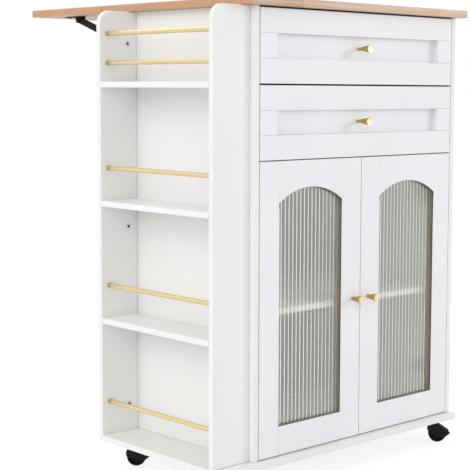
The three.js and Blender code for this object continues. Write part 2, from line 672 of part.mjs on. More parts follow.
// A concealed hinge's fixed half: plate on the side panel, arm, and nose behind the door's stile.
function makeDoorHinge(name, wallX, inward, z) {
  const depth = (near, far) => (inward > 0 ? [near, far] : [-far, -near]);
  const across = (height) => [-height / 2, height / 2];
  const front = FRONT_THICKNESS + HINGE_DOOR_GAP;
  const plateEnd = HINGE_PLATE_SETBACK + HINGE_PLATE_LENGTH;
  const plate = box(
    depth(EASE, HINGE_PLATE_THICKNESS), [HINGE_PLATE_SETBACK, plateEnd], across(HINGE_PLATE_HEIGHT),
  );
  const arm = box(
    depth(HINGE_PLATE_THICKNESS - 1, HINGE_ARM_DEPTH), [front, plateEnd + HINGE_ARM_TAIL],
    across(HINGE_ARM_HEIGHT),
  );
  const nose = box(
    depth(HINGE_ARM_DEPTH - HINGE_PLATE_THICKNESS, HINGE_NOSE_REACH), [front, front + HINGE_NOSE_LENGTH],
    across(HINGE_NOSE_HEIGHT),
  );
  piece(island, name, join(plate, arm, nose), zinc).position.set(wallX, 0, z);
}

const rightDoorX = frontLeft + doorWidth + FRONT_GAP;
makeDoor('left', frontLeft, DOOR_STILE, doorWidth - KNOB_EDGE_DISTANCE);
makeDoor('right', rightDoorX, DOOR_MEETING_STILE, KNOB_EDGE_DISTANCE);
for (const [side, wallX, inward] of [['left', innerLeft, 1], ['right', innerRight, -1]]) {
  makeDoorHinge(`${side}_door_lower_hinge`, wallX, inward, doorBottomZ + HINGE_HEIGHT);
  makeDoorHinge(`${side}_door_upper_hinge`, wallX, inward, doorBottomZ + doorHeight - HINGE_HEIGHT);
}

// ---- Casters ----
// Drawn on the swivel's axis, with the wheel trailing towards +X and its axle along Y.

const axleZ = WHEEL_DIAMETER / 2;
const crownZ = [WHEEL_DIAMETER + FORK_WHEEL_GAP, WHEEL_DIAMETER + FORK_WHEEL_GAP + CASTER_SHEET];
const legNear = WHEEL_WIDTH / 2 + FORK_SIDE_GAP;
const legFar = legNear + CASTER_SHEET;
const pedalX = CASTER_TRAIL + PEDAL_REACH;
const pedalZ = axleZ + PEDAL_RISE;
const pedalRod = PEDAL_ROD_DIAMETER / 2;
const pedalHub = PEDAL_HUB_DIAMETER / 2;

function casterPlateGeometry() {
  const top = CASTER_HEIGHT - EASE;
  const half = CASTER_PLATE / 2;
  const plate = box([-half, half], [-half, half], [top - CASTER_SHEET, top]);
  const race = rodAlongZ(
    CASTER_RACE_DIAMETER / 2, 0, 0, [crownZ[1] + CASTER_RACE_GAP, top - CASTER_SHEET / 2],
  );
  return join(plate, race);
}

function forkGeometry() {
  const back = CASTER_SHEET / 2 - CASTER_RACE_DIAMETER / 2;
  const nose = FORK_NOSE - back;
  const crown = box([back, nose], [-legFar, legFar], crownZ);
  const legBack = CASTER_TRAIL - WHEEL_DIAMETER / 2 - FORK_LEG_BACK;
  const tilt = PEDAL_TILT * DEGREE;
  const boss = FORK_ROD_BOSS / 2;
  const leg = new THREE.Shape();
  leg.moveTo(legBack + 3, crownZ[1]);
  leg.lineTo(legBack + 3, crownZ[0] - 4);
  leg.lineTo(legBack, crownZ[0] - 10);
  leg.lineTo(legBack, axleZ + 4);
  leg.lineTo(legBack + 3, axleZ);
  leg.absarc(CASTER_TRAIL, axleZ, AXLE_DIAMETER, 1.2 * Math.PI, 1.6 * Math.PI, false);
  leg.lineTo(
    pedalX + boss * Math.sin(tilt) - FORK_LEG_FOOT * Math.cos(tilt),
    pedalZ - boss * Math.cos(tilt) - FORK_LEG_FOOT * Math.sin(tilt),
  );
  leg.absarc(pedalX, pedalZ, boss, tilt - Math.PI / 2, Math.PI / 3, false);
  leg.lineTo(nose, crownZ[1]);
  const turn = (geometry) => geometry.rotateX(Math.PI / 2);
  const legs = [-legNear, legFar].map((y) => turn(extrude(leg, CASTER_SHEET)).translate(0, y, 0));
  const ends = [-legFar - AXLE_END, legFar + AXLE_END];
  const axle = rodAlongY(AXLE_DIAMETER / 2, CASTER_TRAIL, ends, axleZ);
  return join(crown, ...legs, axle, rodAlongY(pedalRod, pedalX, ends, pedalZ));
}

function wheelGeometry() {
  const bore = AXLE_DIAMETER / 2 + AXLE_CLEARANCE;
  const tread = WHEEL_DIAMETER / 2;
  const half = WHEEL_WIDTH / 2;
  const profile = [
    [bore, -half], [tread - WHEEL_SHOULDER, -half], [tread, WHEEL_SHOULDER - half],
    [tread, half - WHEEL_SHOULDER], [tread - WHEEL_SHOULDER, half], [bore, half], [bore, -half],
  ];
  return new THREE.LatheGeometry(profile.map(([r, y]) => new THREE.Vector2(r, y)), WHEEL_ROUND);
}

// The brake pedal, drawn on its own rod.
function pedalGeometry() {
  const halfHub = legNear - PIN_CLEARANCE;
  const hub = rodAlongY(pedalHub, 0, [-halfHub, halfHub], 0);
  const pad = box(
    [-PEDAL_HEEL, PEDAL_TOE], [-PEDAL_WIDTH / 2, PEDAL_WIDTH / 2], [-PEDAL_DROP, PEDAL_SHEET - PEDAL_DROP],
  ).rotateY(-PEDAL_TILT * DEGREE);
  const bore = rodAlongY(pedalRod + PIN_CLEARANCE, 0, [-legFar, legFar], 0);
  return cut(join(hub, pad), bore);
}

function makeCaster(name, x, y, hasBrake) {
  const caster = group(island, x, y, 0);
  piece(caster, `${name}_caster_plate`, casterPlateGeometry(), zinc);
  const swivel = group(caster, 0, 0, 0);
  swivel.rotation.z = CASTER_HEADING * DEGREE;
  piece(swivel, `${name}_caster_fork`, forkGeometry(), blackSteel);
  const wheel = piece(swivel, `${name}_caster_wheel`, wheelGeometry(), blackPlastic);
  wheel.position.set(CASTER_TRAIL, 0, axleZ);
  if (!hasBrake) return;
  const pedal = piece(swivel, `${name}_brake_pedal`, pedalGeometry(), blackPlastic);
  pedal.position.set(pedalX, 0, pedalZ);
}

const casterLeft = CASTER_INSET - RACK_DEPTH;
const casterRight = CABINET_WIDTH - CASTER_INSET;
const casterFront = CASTER_INSET - BASE_FRONT_OVERHANG;
const casterRear = CABINET_DEPTH - CASTER_INSET;
makeCaster('front_left', casterLeft, casterFront, true);
makeCaster('front_right', casterRight, casterFront, false);
makeCaster('rear_left', casterLeft, casterRear, true);
makeCaster('rear_right', casterRight, casterRear, false);

// ---- Origin ----

const whole = new THREE.Box3().setFromObject(island, true);
island.position.x = -(whole.min.x + whole.max.x) / 2;
island.position.y = -(whole.min.y + whole.max.y) / 2;

export default island;
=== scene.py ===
import json
import math

import bmesh
import bpy
from mathutils import Matrix, Vector


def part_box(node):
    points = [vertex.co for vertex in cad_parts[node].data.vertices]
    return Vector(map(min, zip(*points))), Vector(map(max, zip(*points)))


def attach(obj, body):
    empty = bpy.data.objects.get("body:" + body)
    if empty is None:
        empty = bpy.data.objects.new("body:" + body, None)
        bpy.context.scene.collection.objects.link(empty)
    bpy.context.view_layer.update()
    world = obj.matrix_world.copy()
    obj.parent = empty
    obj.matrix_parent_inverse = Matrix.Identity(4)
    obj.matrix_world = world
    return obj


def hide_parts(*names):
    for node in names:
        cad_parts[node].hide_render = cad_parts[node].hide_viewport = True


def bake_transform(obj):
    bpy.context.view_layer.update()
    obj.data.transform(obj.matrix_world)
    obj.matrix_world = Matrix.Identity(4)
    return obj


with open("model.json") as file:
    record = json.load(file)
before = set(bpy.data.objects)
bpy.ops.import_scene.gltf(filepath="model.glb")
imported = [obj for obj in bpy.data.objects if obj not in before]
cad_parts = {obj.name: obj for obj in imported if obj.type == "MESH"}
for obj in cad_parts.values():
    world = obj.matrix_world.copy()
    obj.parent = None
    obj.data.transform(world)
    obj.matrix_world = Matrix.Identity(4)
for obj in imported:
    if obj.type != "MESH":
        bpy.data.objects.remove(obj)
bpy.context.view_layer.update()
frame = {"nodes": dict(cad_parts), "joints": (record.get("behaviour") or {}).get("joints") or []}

# ---- Camera ----
# A long lens stands to the left in front of the cabinet, lower than its top, so that the top shows
# only its edges. The picture is a square cut from a larger one, hence the small shift of the lens.

IMAGE_SIDE = 470
LENS_PIXELS = 1303.6
LENS_CENTRE = (281.9, 215.7)
SENSOR_WIDTH = 36.0
CAMERA_PLACE = (-1.8504, -2.0578, 0.7496)
CAMERA_TURN = 0.76813  # to the right of +Y, in radians
CAMERA_TILT = 0.09662  # downward
CAMERA_ROLL = -0.00575

camera_data = bpy.data.cameras.new("camera")
camera_data.sensor_width = SENSOR_WIDTH
camera_data.lens = LENS_PIXELS * SENSOR_WIDTH / IMAGE_SIDE
camera_data.shift_x = 0.5 - LENS_CENTRE[0] / IMAGE_SIDE
camera_data.shift_y = LENS_CENTRE[1] / IMAGE_SIDE - 0.5
camera = bpy.data.objects.new("camera", camera_data)
bpy.context.collection.objects.link(camera)
camera.location = CAMERA_PLACE
stance = Matrix.Rotation(-CAMERA_TURN, 3, "Z") @ Matrix.Rotation(math.pi / 2 - CAMERA_TILT, 3, "X")
camera.rotation_euler = (stance @ Matrix.Rotation(-CAMERA_ROLL, 3, "Z")).to_euler()
bpy.context.scene.camera = camera
bpy.context.scene.view_settings.view_transform = "Standard"

# ---- Light and floor ----
# A white studio: the room lights every side softly, four lamps far off give the faces their different
# tones and the knobs their soft shadows, and a pale floor takes the shadow of the whole. What the camera
# sees of the room is plain white.


def add_node(tree, kind, sockets=None, **settings):
    """Adds a shader node. A socket's value is a number, a colour or the output that feeds it."""
    made = tree.nodes.new("ShaderNode" + kind)
    for name, value in settings.items():
        setattr(made, name, value)
    for name, value in (sockets or {}).items():
        if isinstance(value, bpy.types.NodeSocket):
            tree.links.new(value, made.inputs[name])
        else:
            made.inputs[name].default_value = value
    return made


def add_sum(tree, operation, *values):
    """One step of arithmetic on numbers or outputs."""
    return add_node(tree, "Math", dict(enumerate(values)), operation=operation).outputs[0]


def seen_directly(tree):
    """1 for rays that show a thing itself: from the camera, in a mirror or through glass."""
    path = add_node(tree, "LightPath").outputs
    shown = add_sum(tree, "MAXIMUM", path["Is Camera Ray"], path["Is Glossy Ray"])
    return add_sum(tree, "MAXIMUM", shown, path["Is Transmission Ray"])


def add_lamp(name, towards, level, softness):
    """A lamp far off in the direction towards. A white card that faces it is lit to that level."""
    data = bpy.data.lights.new(name, "SUN")
    data.energy = level * math.pi
    data.angle = math.radians(softness)
    lamp = bpy.data.objects.new(name, data)
    lamp.rotation_euler = Vector(towards).to_track_quat("Z", "Y").to_euler()
    bpy.context.collection.objects.link(lamp)


ROOM_LIGHT = 0.65
FLOOR_REACH = 30.0

world = bpy.data.worlds.new("studio")
world.use_nodes = True
bpy.context.scene.world = world
sky = world.node_tree
sky.nodes.clear()
room = add_node(sky, "Background", {"Color": (1, 1, 1, 1), "Strength": ROOM_LIGHT})
white = add_node(sky, "Background", {"Color": (1, 1, 1, 1), "Strength": 1.0})
view = add_node(sky, "MixShader", {0: seen_directly(sky), 1: room.outputs[0], 2: white.outputs[0]})
add_node(sky, "OutputWorld", {"Surface": view.outputs[0]})

add_lamp("front_lamp", (-0.5, -1.0, 0.5), 0.04, 50)
add_lamp("left_lamp", (-1.0, -0.1, 0.62), 0.36, 50)
add_lamp("right_lamp", (1.15, -1.0, 0.42), 0.18, 16)
add_lamp("back_lamp", (0.25, 0.9, 0.4), 0.22, 60)

floor_shape = bmesh.new()
bmesh.ops.create_grid(floor_shape, x_segments=1, y_segments=1, size=FLOOR_REACH)
floor_mesh = bpy.data.meshes.new("floor")
floor_shape.to_mesh(floor_mesh)
floor_shape.free()
floor = bpy.data.objects.new("floor", floor_mesh)
bpy.context.collection.objects.link(floor)

floor_paint = bpy.data.materials.new("floor_paint")
floor_paint.use_nodes = True
floor_tree = floor_paint.node_tree
floor_tree.nodes.clear()
plain = add_node(floor_tree, "BsdfDiffuse", {"Color": (0.9, 0.9, 0.9, 1)})
shaded = add_node(floor_tree, "BsdfDiffuse", {"Color": (0.24, 0.24, 0.24, 1)})
glow = add_node(floor_tree, "Emission", {"Color": (1, 1, 1, 1), "Strength": 0.82})
pale = add_node(floor_tree, "AddShader", {0: shaded.outputs[0], 1: glow.outputs[0]})
floor_look = add_node(
    floor_tree, "MixShader", {0: seen_directly(floor_tree), 1: plain.outputs[0], 2: pale.outputs[0]}
)
add_node(floor_tree, "OutputMaterial", {"Surface": floor_look.outputs[0]})
floor_mesh.materials.append(floor_paint)

# ---- Cabinet boards ----
# The carcass is 12 mm particle board, faced and edged in satin white melamine and held by dowels and
# cams. The foil has a faint pebble, drifts a little in tone, and is polished along the eased edges. The
# back is thin hardboard, white on its outer face; the grey of its inner face is painted shade for the dim
# inside of the cupboard.


def linear(red, green, blue):
    """A colour from its screen values, 0 to 255."""
    def channel(value):
        share = value / 255
        return share / 12.92 if share <= 0.04045 else ((share + 0.055) / 1.055) ** 2.4
    return (channel(red), channel(green), channel(blue), 1.0)


def new_finish(name):
    """A new material: its tree, its shader, and the point on the piece that patterns are drawn from."""
    finish = bpy.data.materials.new(name)
    finish.use_nodes = True
    tree = finish.node_tree
    shader = tree.nodes["Principled BSDF"]
    point = add_node(tree, "TexCoord").outputs["Object"]
    return finish, tree, shader, point


def add_noise(tree, point, scale, detail=2.0, stretch=(1, 1, 1), roughness=0.5):
    """Noise with so many features to the metre, drawn out along an axis by a stretch below 1."""
    if stretch != (1, 1, 1):
        moved = add_node(tree, "VectorMath", {0: point, 1: stretch}, operation="MULTIPLY")
        point = moved.outputs[0]
    sockets = {"Vector": point, "Scale": scale, "Detail": detail, "Roughness": roughness}
    return add_node(tree, "TexNoise", sockets).outputs["Fac"]


def add_ramp(tree, factor, *stops):
    """A colour ramp through (place, colour) stops."""
    ramp = add_node(tree, "ValToRGB", {"Fac": factor})
    steps = ramp.color_ramp.elements
    steps[0].position, steps[0].color = stops[0]
    steps[1].position, steps[1].color = stops[-1]
    for place, colour in stops[1:-1]:
        steps.new(place).color = colour
    return ramp.outputs["Color"]


def add_range(tree, factor, low, high):
    """Maps noise, which mostly lies between 0.3 and 0.7, to the range from low to high."""
    sockets = {"Value": factor, "From Min": 0.3, "From Max": 0.7, "To Min": low, "To Max": high}
    return add_node(tree, "MapRange", sockets).outputs["Result"]


def add_share(tree, value, none_at, all_at, most=1.0):
    """Grows from 0 where the value is none_at to the most where it is all_at, and stays in between."""
    sockets = {"Value": value, "From Min": none_at, "From Max": all_at, "To Max": most}
    return add_node(tree, "MapRange", sockets).outputs["Result"]


def add_mix(tree, share, first, second, blend="MIX"):
    """The first colour, changed by a share into the second or into their product."""
    sockets = {"Fac": share, "Color1": first, "Color2": second}
    return add_node(tree, "MixRGB", sockets, blend_type=blend).outputs["Color"]


def add_facing(tree):
    """How far the surface faces along the piece's X, Y and Z, from -1 to 1."""
    normal = add_node(tree, "TexCoord").outputs["Normal"]
    return add_node(tree, "SeparateXYZ", {0: normal}).outputs


def add_edge_wear(tree, reach):
    """1 on a worn edge and 0 on a flat face, broken up by noise; the wear reaches so far in from it."""
    rounded = add_node(tree, "Bevel", {"Radius": reach}, samples=6).outputs["Normal"]
    true = add_node(tree, "NewGeometry").outputs["Normal"]
    alike = add_node(tree, "VectorMath", {0: rounded, 1: true}, operation="DOT_PRODUCT").outputs["Value"]
    point = add_node(tree, "TexCoord").outputs["Object"]
    patches = add_range(tree, add_noise(tree, point, 70.0, detail=3.0), 0.3, 1.0)
    return add_sum(tree, "MULTIPLY", add_share(tree, alike, 0.995, 0.9), patches)


def add_skin(tree, shader, tone, roughness):
    """Feeds the tone and the roughness of a surface."""
    tree.links.new(tone, shader.inputs["Base Color"])
    tree.links.new(roughness, shader.inputs["Roughness"])


def add_relief(tree, shader, height, depth, strength=1.0):
    """Raises the surface by a height of 0 to 1 times a depth in metres."""
    bump = add_node(tree, "Bump", {"Height": height, "Distance": depth, "Strength": strength})
    tree.links.new(bump.outputs["Normal"], shader.inputs["Normal"])


def white_finish(name, darker, lighter, gloss, pebble):
    """Satin white board: a tone that drifts between two whites, and a fine pebble of so many a metre."""
    finish, tree, shader, point = new_finish(name)
    drift = add_ramp(tree, add_noise(tree, point, 5.0), (0.3, darker), (0.7, lighter))
    wear = add_edge_wear(tree, 0.0012)
    rubbed = [channel * 0.9 for channel in darker[:3]] + [1]
    handling = add_range(tree, add_noise(tree, point, 22.0, detail=4.0), *gloss)
    polished = add_sum(tree, "MULTIPLY", wear, -0.12)
    add_skin(tree, shader, add_mix(tree, wear, drift, rubbed), add_sum(tree, "ADD", handling, polished))
    add_relief(tree, shader, add_noise(tree, point, pebble, detail=1.0), 0.00004)
    return finish


melamine = white_finish("white_melamine", linear(236, 236, 234), linear(240, 240, 240), (0.38, 0.5), 900)


def add_ease(piece, width, sharpest):
    """Eases the edges of a piece that are sharper than an angle in degrees."""
    ease = piece.modifiers.new("ease", "BEVEL")
    ease.width = width
    ease.segments = 2
    ease.limit_method = "ANGLE"
    ease.angle_limit = math.radians(sharpest)


def dress(name, finish, edge):
    """Gives a board of the model its finish and eases its edges."""
    board = frame["nodes"][name]
    for material_slot in board.material_slots:
        material_slot.material = finish
    board.modifiers.new("weld", "WELD").merge_threshold = 1e-6
    flat = board.modifiers.new("flat", "DECIMATE")
    flat.decimate_type = "DISSOLVE"
    flat.angle_limit = math.radians(1)
    add_ease(board, edge, 40)
    board.modifiers.new("normals", "WEIGHTED_NORMAL").weight = 60


BOARD_EDGE = 0.0006
for board_name in (
    "base_board", "left_side_panel", "right_side_panel", "divider_board", "inner_shelf",
):
    dress(board_name, melamine, BOARD_EDGE)

hardboard = white_finish(
    "painted_hardboard", linear(222, 222, 218), linear(230, 230, 226), (0.5, 0.65), 700,
)
tree = hardboard.node_tree
shader = tree.nodes["Principled BSDF"]
painted = shader.inputs["Base Color"].links[0].from_socket
# The grey on the panel's inner face is painted shade, standing for the dim light inside the cupboard.
inner_face_shade = add_share(tree, add_facing(tree)["Y"], 0.0, -0.5)
tree.links.new(add_mix(tree, inner_face_shade, painted, linear(136, 140, 132)), shader.inputs["Base Color"])
dress("back_panel", hardboard, BOARD_EDGE)

# ---- Shelf pins ----
# Four zinc-plated pins in drilled holes carry the shelf in the cupboard: a collar against the side panel
# and a short peg under the shelf's end.

SMOOTH_BELOW = math.radians(35)


def make_object(name, shape, finish):
    """Makes an object of a bmesh: smooth on its rounds and crisp at its corners."""
    bmesh.ops.recalc_face_normals(shape, faces=shape.faces)
    mesh = bpy.data.meshes.new(name)
    shape.to_mesh(mesh)
    shape.free()
    mesh.shade_smooth()
    mesh.set_sharp_from_angle(angle=SMOOTH_BELOW)
    mesh.materials.append(finish)
    made = bpy.data.objects.new(name, mesh)
    bpy.context.collection.objects.link(made)
    return made


def make_piece(name, shape, finish, body, stands_for=(), keep_normals=False):
    """Makes a shown piece that rides on a body, and may stand for pieces of the model."""
    piece = make_object(name, shape, finish)
    if not keep_normals:
        weighted = piece.modifiers.new("normals", "WEIGHTED_NORMAL")
        weighted.keep_sharp = True
    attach(piece, body)
    if stands_for:
        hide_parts(*stands_for)
    return piece


def add_turned(shape, profile, foot, axis, sides=24, closed=False):
    """Adds a turned solid. The profile holds (distance along the axis, radius) pairs from its foot."""
    turn = Vector(axis).to_track_quat("Z", "Y")
    rings = []
    for along, radius in profile:
        spokes = [2 * math.pi * i / sides for i in range(sides)]
        if radius == 0:
            rings.append([shape.verts.new(Vector(foot) + turn @ Vector((0, 0, along)))] * sides)
            continue
        rings.append([
            shape.verts.new(
                Vector(foot) + turn @ Vector((radius * math.cos(a), radius * math.sin(a), along))
            )
            for a in spokes
        ])
    pairs = list(zip(rings, rings[1:]))
    if closed:
        pairs.append((rings[-1], rings[0]))
    for near, far in pairs:
        for i in range(sides):
            j = (i + 1) % sides
            corners = list(dict.fromkeys((near[i], near[j], far[j], far[i])))
            if len(corners) > 2:
                shape.faces.new(corners)


def metal_finish(
    name, dark, light, gloss, metal=1.0, brushed=(1, 1, 1), grain=700, relief=0.00001, shine=0.5
):
    """Metal whose tone and gloss vary along its brushing, with fine marks of so many a metre."""
    finish, tree, shader, point = new_finish(name)
    shader.inputs["Metallic"].default_value = metal
    shader.inputs["Specular IOR Level"].default_value = shine
    streaks = add_noise(tree, point, grain, detail=3.0, stretch=brushed)
    wear = add_noise(tree, point, 60.0, detail=4.0)
    tone = add_ramp(tree, streaks, (0.25, dark), (0.75, light))
    add_skin(tree, shader, tone, add_range(tree, wear, *gloss))
    add_relief(tree, shader, streaks, relief)
    return finish


zinc = metal_finish("zinc_plate", linear(168, 170, 172), linear(205, 207, 210), (0.28, 0.42))

shelf_low, shelf_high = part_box("inner_shelf")
PIN_RADIUS = 0.0025
PIN_COLLAR = 0.0045
PIN_REACH = 0.010
PIN_FROM_EDGE = 0.035
pins = bmesh.new()
for wall_x, inward in ((shelf_low.x, 1), (shelf_high.x, -1)):
    for pin_y in (shelf_low.y + PIN_FROM_EDGE, shelf_high.y - PIN_FROM_EDGE):
        foot = (wall_x, pin_y, shelf_low.z - PIN_RADIUS - 0.0002)
        add_turned(
            pins,
            [(0, 0), (0, PIN_COLLAR), (0.0009, PIN_COLLAR), (0.0012, PIN_COLLAR - 0.0003),
             (0.0012, PIN_RADIUS), (PIN_REACH - 0.0004, PIN_RADIUS), (PIN_REACH, PIN_RADIUS - 0.0004),
             (PIN_REACH, 0)],
            foot, (inward, 0, 0),
        )
make_piece("shelf_pins", pins, zinc, "root")

# ---- Spice rack ----
# Two upright panels with a rounded upper corner carry three fixed shelves, all of the same white
# board. Cams in the panels' inner faces pull them tight against the cabinet's side. A near-black disc
# in each cam's socket is painted shade for the depth of the hole.

for board_name in (
    "front_rack_panel", "rear_rack_panel", "lower_rack_shelf", "middle_rack_shelf", "upper_rack_shelf",
):
    dress(board_name, melamine, BOARD_EDGE * 2)

white_plastic = white_finish(
    "white_plastic", linear(212, 212, 210), linear(222, 222, 220), (0.3, 0.42), 1800,
)
# The cams' near-black middles are painted shade: a dark disc where the socket's hole would be in shadow.
cam_hole_shade_finish = metal_finish("cam_hole_shade", linear(26, 26, 30), linear(46, 46, 50), (0.4, 0.55))
CAM_RADIUS = 0.0062
CAM_RIM = 0.0004
CAM_SOCKET = 0.0026
CAM_FROM_CABINET = 0.0223
CAM_HEIGHTS = (0.1163, 0.4762, 0.8374)

cabinet_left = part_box("left_side_panel")[0].x
rear_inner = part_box("rear_rack_panel")[0].y
front_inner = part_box("front_rack_panel")[1].y
cam_rings = bmesh.new()
cam_hole_shades = bmesh.new()
for cam_z in CAM_HEIGHTS:
    for wall_y, out in ((rear_inner, -1), (front_inner, 1)):
        foot = (cabinet_left - CAM_FROM_CABINET, wall_y, cam_z)
        add_turned(
            cam_rings,
            [(-0.003, CAM_RADIUS), (CAM_RIM - 0.0002, CAM_RADIUS), (CAM_RIM, CAM_RADIUS - 0.0002),
             (CAM_RIM, CAM_SOCKET + 0.0002), (CAM_RIM - 0.0002, CAM_SOCKET), (-0.003, CAM_SOCKET)],
            foot, (0, out, 0), sides=32, closed=True,
        )
        add_turned(
            cam_hole_shades, [(-0.002, 0), (-0.002, CAM_SOCKET), (0.0001, CAM_SOCKET), (0.0001, 0)],
            foot, (0, out, 0), sides=32,
        )
make_piece("rack_cam_rings", cam_rings, white_plastic, "root")
make_piece("rack_cam_hole_shades", cam_hole_shades, cam_hole_shade_finish, "root")

# ---- Rails ----
# Five thin brass-coloured tubes span the rack and keep jars on the shelves. Each ends in a short
# socket that is pressed into the panel; its darker tone is painted shade where the rail meets the panel.

brass = metal_finish(
    "brushed_brass", linear(222, 196, 142), linear(242, 222, 174), (0.28, 0.4), grain=1500,
    brushed=(1, 0.05, 1),
)
# The sockets' darker brass is painted shade where each rail runs into its panel.
socket_brass_shade = metal_finish(
    "socket_brass_shade", linear(196, 170, 116), linear(216, 192, 138), (0.4, 0.55), grain=900,
)
RAIL_WALL = 0.001
SOCKET_LENGTH = 0.010
SOCKET_RADIUS = 0.0047
for rail_name in (
    "bottom_bay_rail", "lower_shelf_rail", "middle_shelf_rail", "upper_shelf_low_rail",
    "upper_shelf_high_rail",
):
    low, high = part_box(rail_name)
    middle = (low + high) / 2
    radius = (high.z - low.z) / 2
    length = high.y - low.y
    tube = bmesh.new()
    add_turned(
        tube,
        [(0, radius), (length, radius), (length, radius - RAIL_WALL), (0, radius - RAIL_WALL)],
        (middle.x, low.y, middle.z), (0, 1, 0), sides=40, closed=True,
    )
    make_piece(rail_name + "_tube", tube, brass, "root", [rail_name])
    sockets = bmesh.new()
    for end_y, inward in ((low.y, 1), (high.y, -1)):
        add_turned(
            sockets,
            [(0, radius + 0.00002), (0, SOCKET_RADIUS), (SOCKET_LENGTH - 0.0001, SOCKET_RADIUS),
             (SOCKET_LENGTH, SOCKET_RADIUS - 0.0001), (SOCKET_LENGTH, radius + 0.00002)],
            (middle.x, end_y, middle.z), (0, inward, 0), sides=40, closed=True,
        )
    make_piece(rail_name + "_sockets", sockets, socket_brass_shade, "root")

# ---- Top and drop leaf ----
# Light wood glued up from narrow staves that run from end to end, sanded, eased and oiled to a satin.
# The grain follows the staves, and the two ends show the cut fibres, which soak up oil and go darker.

STAVE_WIDTH = 0.044
STAVE_LENGTH = 0.39
PALE_WOOD = linear(220, 194, 173)
MID_WOOD = linear(209, 179, 156)
DARK_WOOD = linear(190, 152, 125)
GLUE_LINE = linear(172, 134, 106)
END_WOOD = linear(200, 154, 117)
WORN_WOOD = (0.8, 0.76, 0.73, 1)  # what the edges keep of the tone

wood, tree, shader, point = new_finish("oiled_wood")
staves = add_node(
    tree, "TexBrick",
    {"Vector": point, "Color1": (0, 0, 0, 1), "Color2": (1, 1, 1, 1), "Mortar": (0.5, 0.5, 0.5, 1),
     "Scale": 1.0, "Mortar Size": 0.0003, "Mortar Smooth": 0.2, "Brick Width": STAVE_LENGTH,
     "Row Height": STAVE_WIDTH},
    offset=0.37, offset_frequency=2, squash=1.0,
)
apart = add_node(tree, "VectorMath", {0: staves.outputs["Color"], 1: (3.1, 7.7, 5.3)}, operation="MULTIPLY")
in_stave = add_node(tree, "VectorMath", {0: point, 1: apart.outputs[0]}, operation="ADD").outputs[0]
figure = add_noise(tree, in_stave, 120.0, detail=3.0, stretch=(0.025, 1, 1), roughness=0.6)
fibres = add_noise(tree, in_stave, 900.0, detail=3.0, stretch=(0.02, 1, 1))
pores = add_noise(tree, in_stave, 2300.0, detail=2.0, stretch=(0.05, 1, 1))
tone = add_ramp(tree, figure, (0.3, DARK_WOOD), (0.48, MID_WOOD), (0.66, PALE_WOOD))
fibre_tone = add_ramp(tree, fibres, (0.32, (0.86, 0.83, 0.8, 1)), (0.6, (1, 1, 1, 1)))
grained = add_mix(tree, 0.6, tone, fibre_tone, "MULTIPLY")
stave_tone = add_ramp(
    tree, staves.outputs["Color"], (0.0, (0.94, 0.92, 0.9, 1)), (0.5, (1, 0.99, 0.98, 1)),
    (1.0, (1.04, 1.03, 1.02, 1)),
)
sorted_tone = add_mix(tree, 1.0, grained, stave_tone, "MULTIPLY")
glued = add_mix(tree, staves.outputs["Fac"], sorted_tone, GLUE_LINE)
end_share = add_share(tree, add_sum(tree, "ABSOLUTE", add_facing(tree)["X"]), 0.6, 0.95)
cut_fibres = add_noise(tree, in_stave, 260.0, detail=3.0, stretch=(1, 0.35, 1))
end_fibres = add_ramp(tree, cut_fibres, (0.3, (0.93, 0.91, 0.89, 1)), (0.65, (1.02, 1.02, 1.02, 1)))
board_tone = add_mix(tree, end_share, glued, add_mix(tree, 1.0, END_WOOD, end_fibres, "MULTIPLY"))
handled = add_mix(tree, add_edge_wear(tree, 0.002), board_tone, WORN_WOOD, "MULTIPLY")
add_skin(tree, shader, handled, add_range(tree, fibres, 0.42, 0.56))
add_relief(tree, shader, pores, 0.00006, strength=0.6)

WOOD_EDGE = 0.0015
for board_name in ("worktop", "drop_leaf"):
    dress(board_name, wood, WOOD_EDGE)

# ---- Leaf hinge ----
# A long plated hinge under the seam lets the leaf fold down behind the cabinet. Each wing is screwed
# up into the wood with small countersunk screws.

def add_screw(shape, foot, axis, radius=0.003, rise=0.0009):
    """A screw's domed head with a cross socket's sunk middle."""
    add_turned(
        shape,
        [(-0.0003, 0), (-0.0003, radius), (rise * 0.35, radius * 0.93), (rise * 0.75, radius * 0.7),
         (rise, radius * 0.42), (rise, radius * 0.3), (rise * 0.3, radius * 0.22), (rise * 0.3, 0)],
        foot, axis, sides=20,
    )


joints = {joint["name"]: joint for joint in frame["joints"]}
HINGE_SCREWS = 9
WING_SHEET = 0.0015
SCREW_ACROSS_WING = 0.62  # from the hinge's axis to the wing's outer edge
for wing, body in (("leaf_hinge_fixed_wing", "root"), ("leaf_hinge_moving_wing", "leaf")):
    dress(wing, zinc, 0.0002)
    low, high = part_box(wing)
    hinge_y = joints["leaf_fold"]["pos_m"][1]
    outer_y = low.y if body == "root" else high.y
    screw_y = hinge_y + SCREW_ACROSS_WING * (outer_y - hinge_y)
    screw_z = high.z - WING_SHEET
    screws = bmesh.new()
    for i in range(HINGE_SCREWS):
        screw_x = low.x + (high.x - low.x) * (i + 0.5) / HINGE_SCREWS
        add_screw(screws, (screw_x, screw_y, screw_z), (0, 0, -1), radius=0.0028, rise=0.0006)
    make_piece(wing + "_screws", screws, zinc, body)

# ---- Folding stays ----
# Two black powder-coated stays carry the raised leaf: a channel strut that turns on a riveted pin in
# a plate under the leaf, and slides by its lower pin in a slotted guide on the cabinet's back.

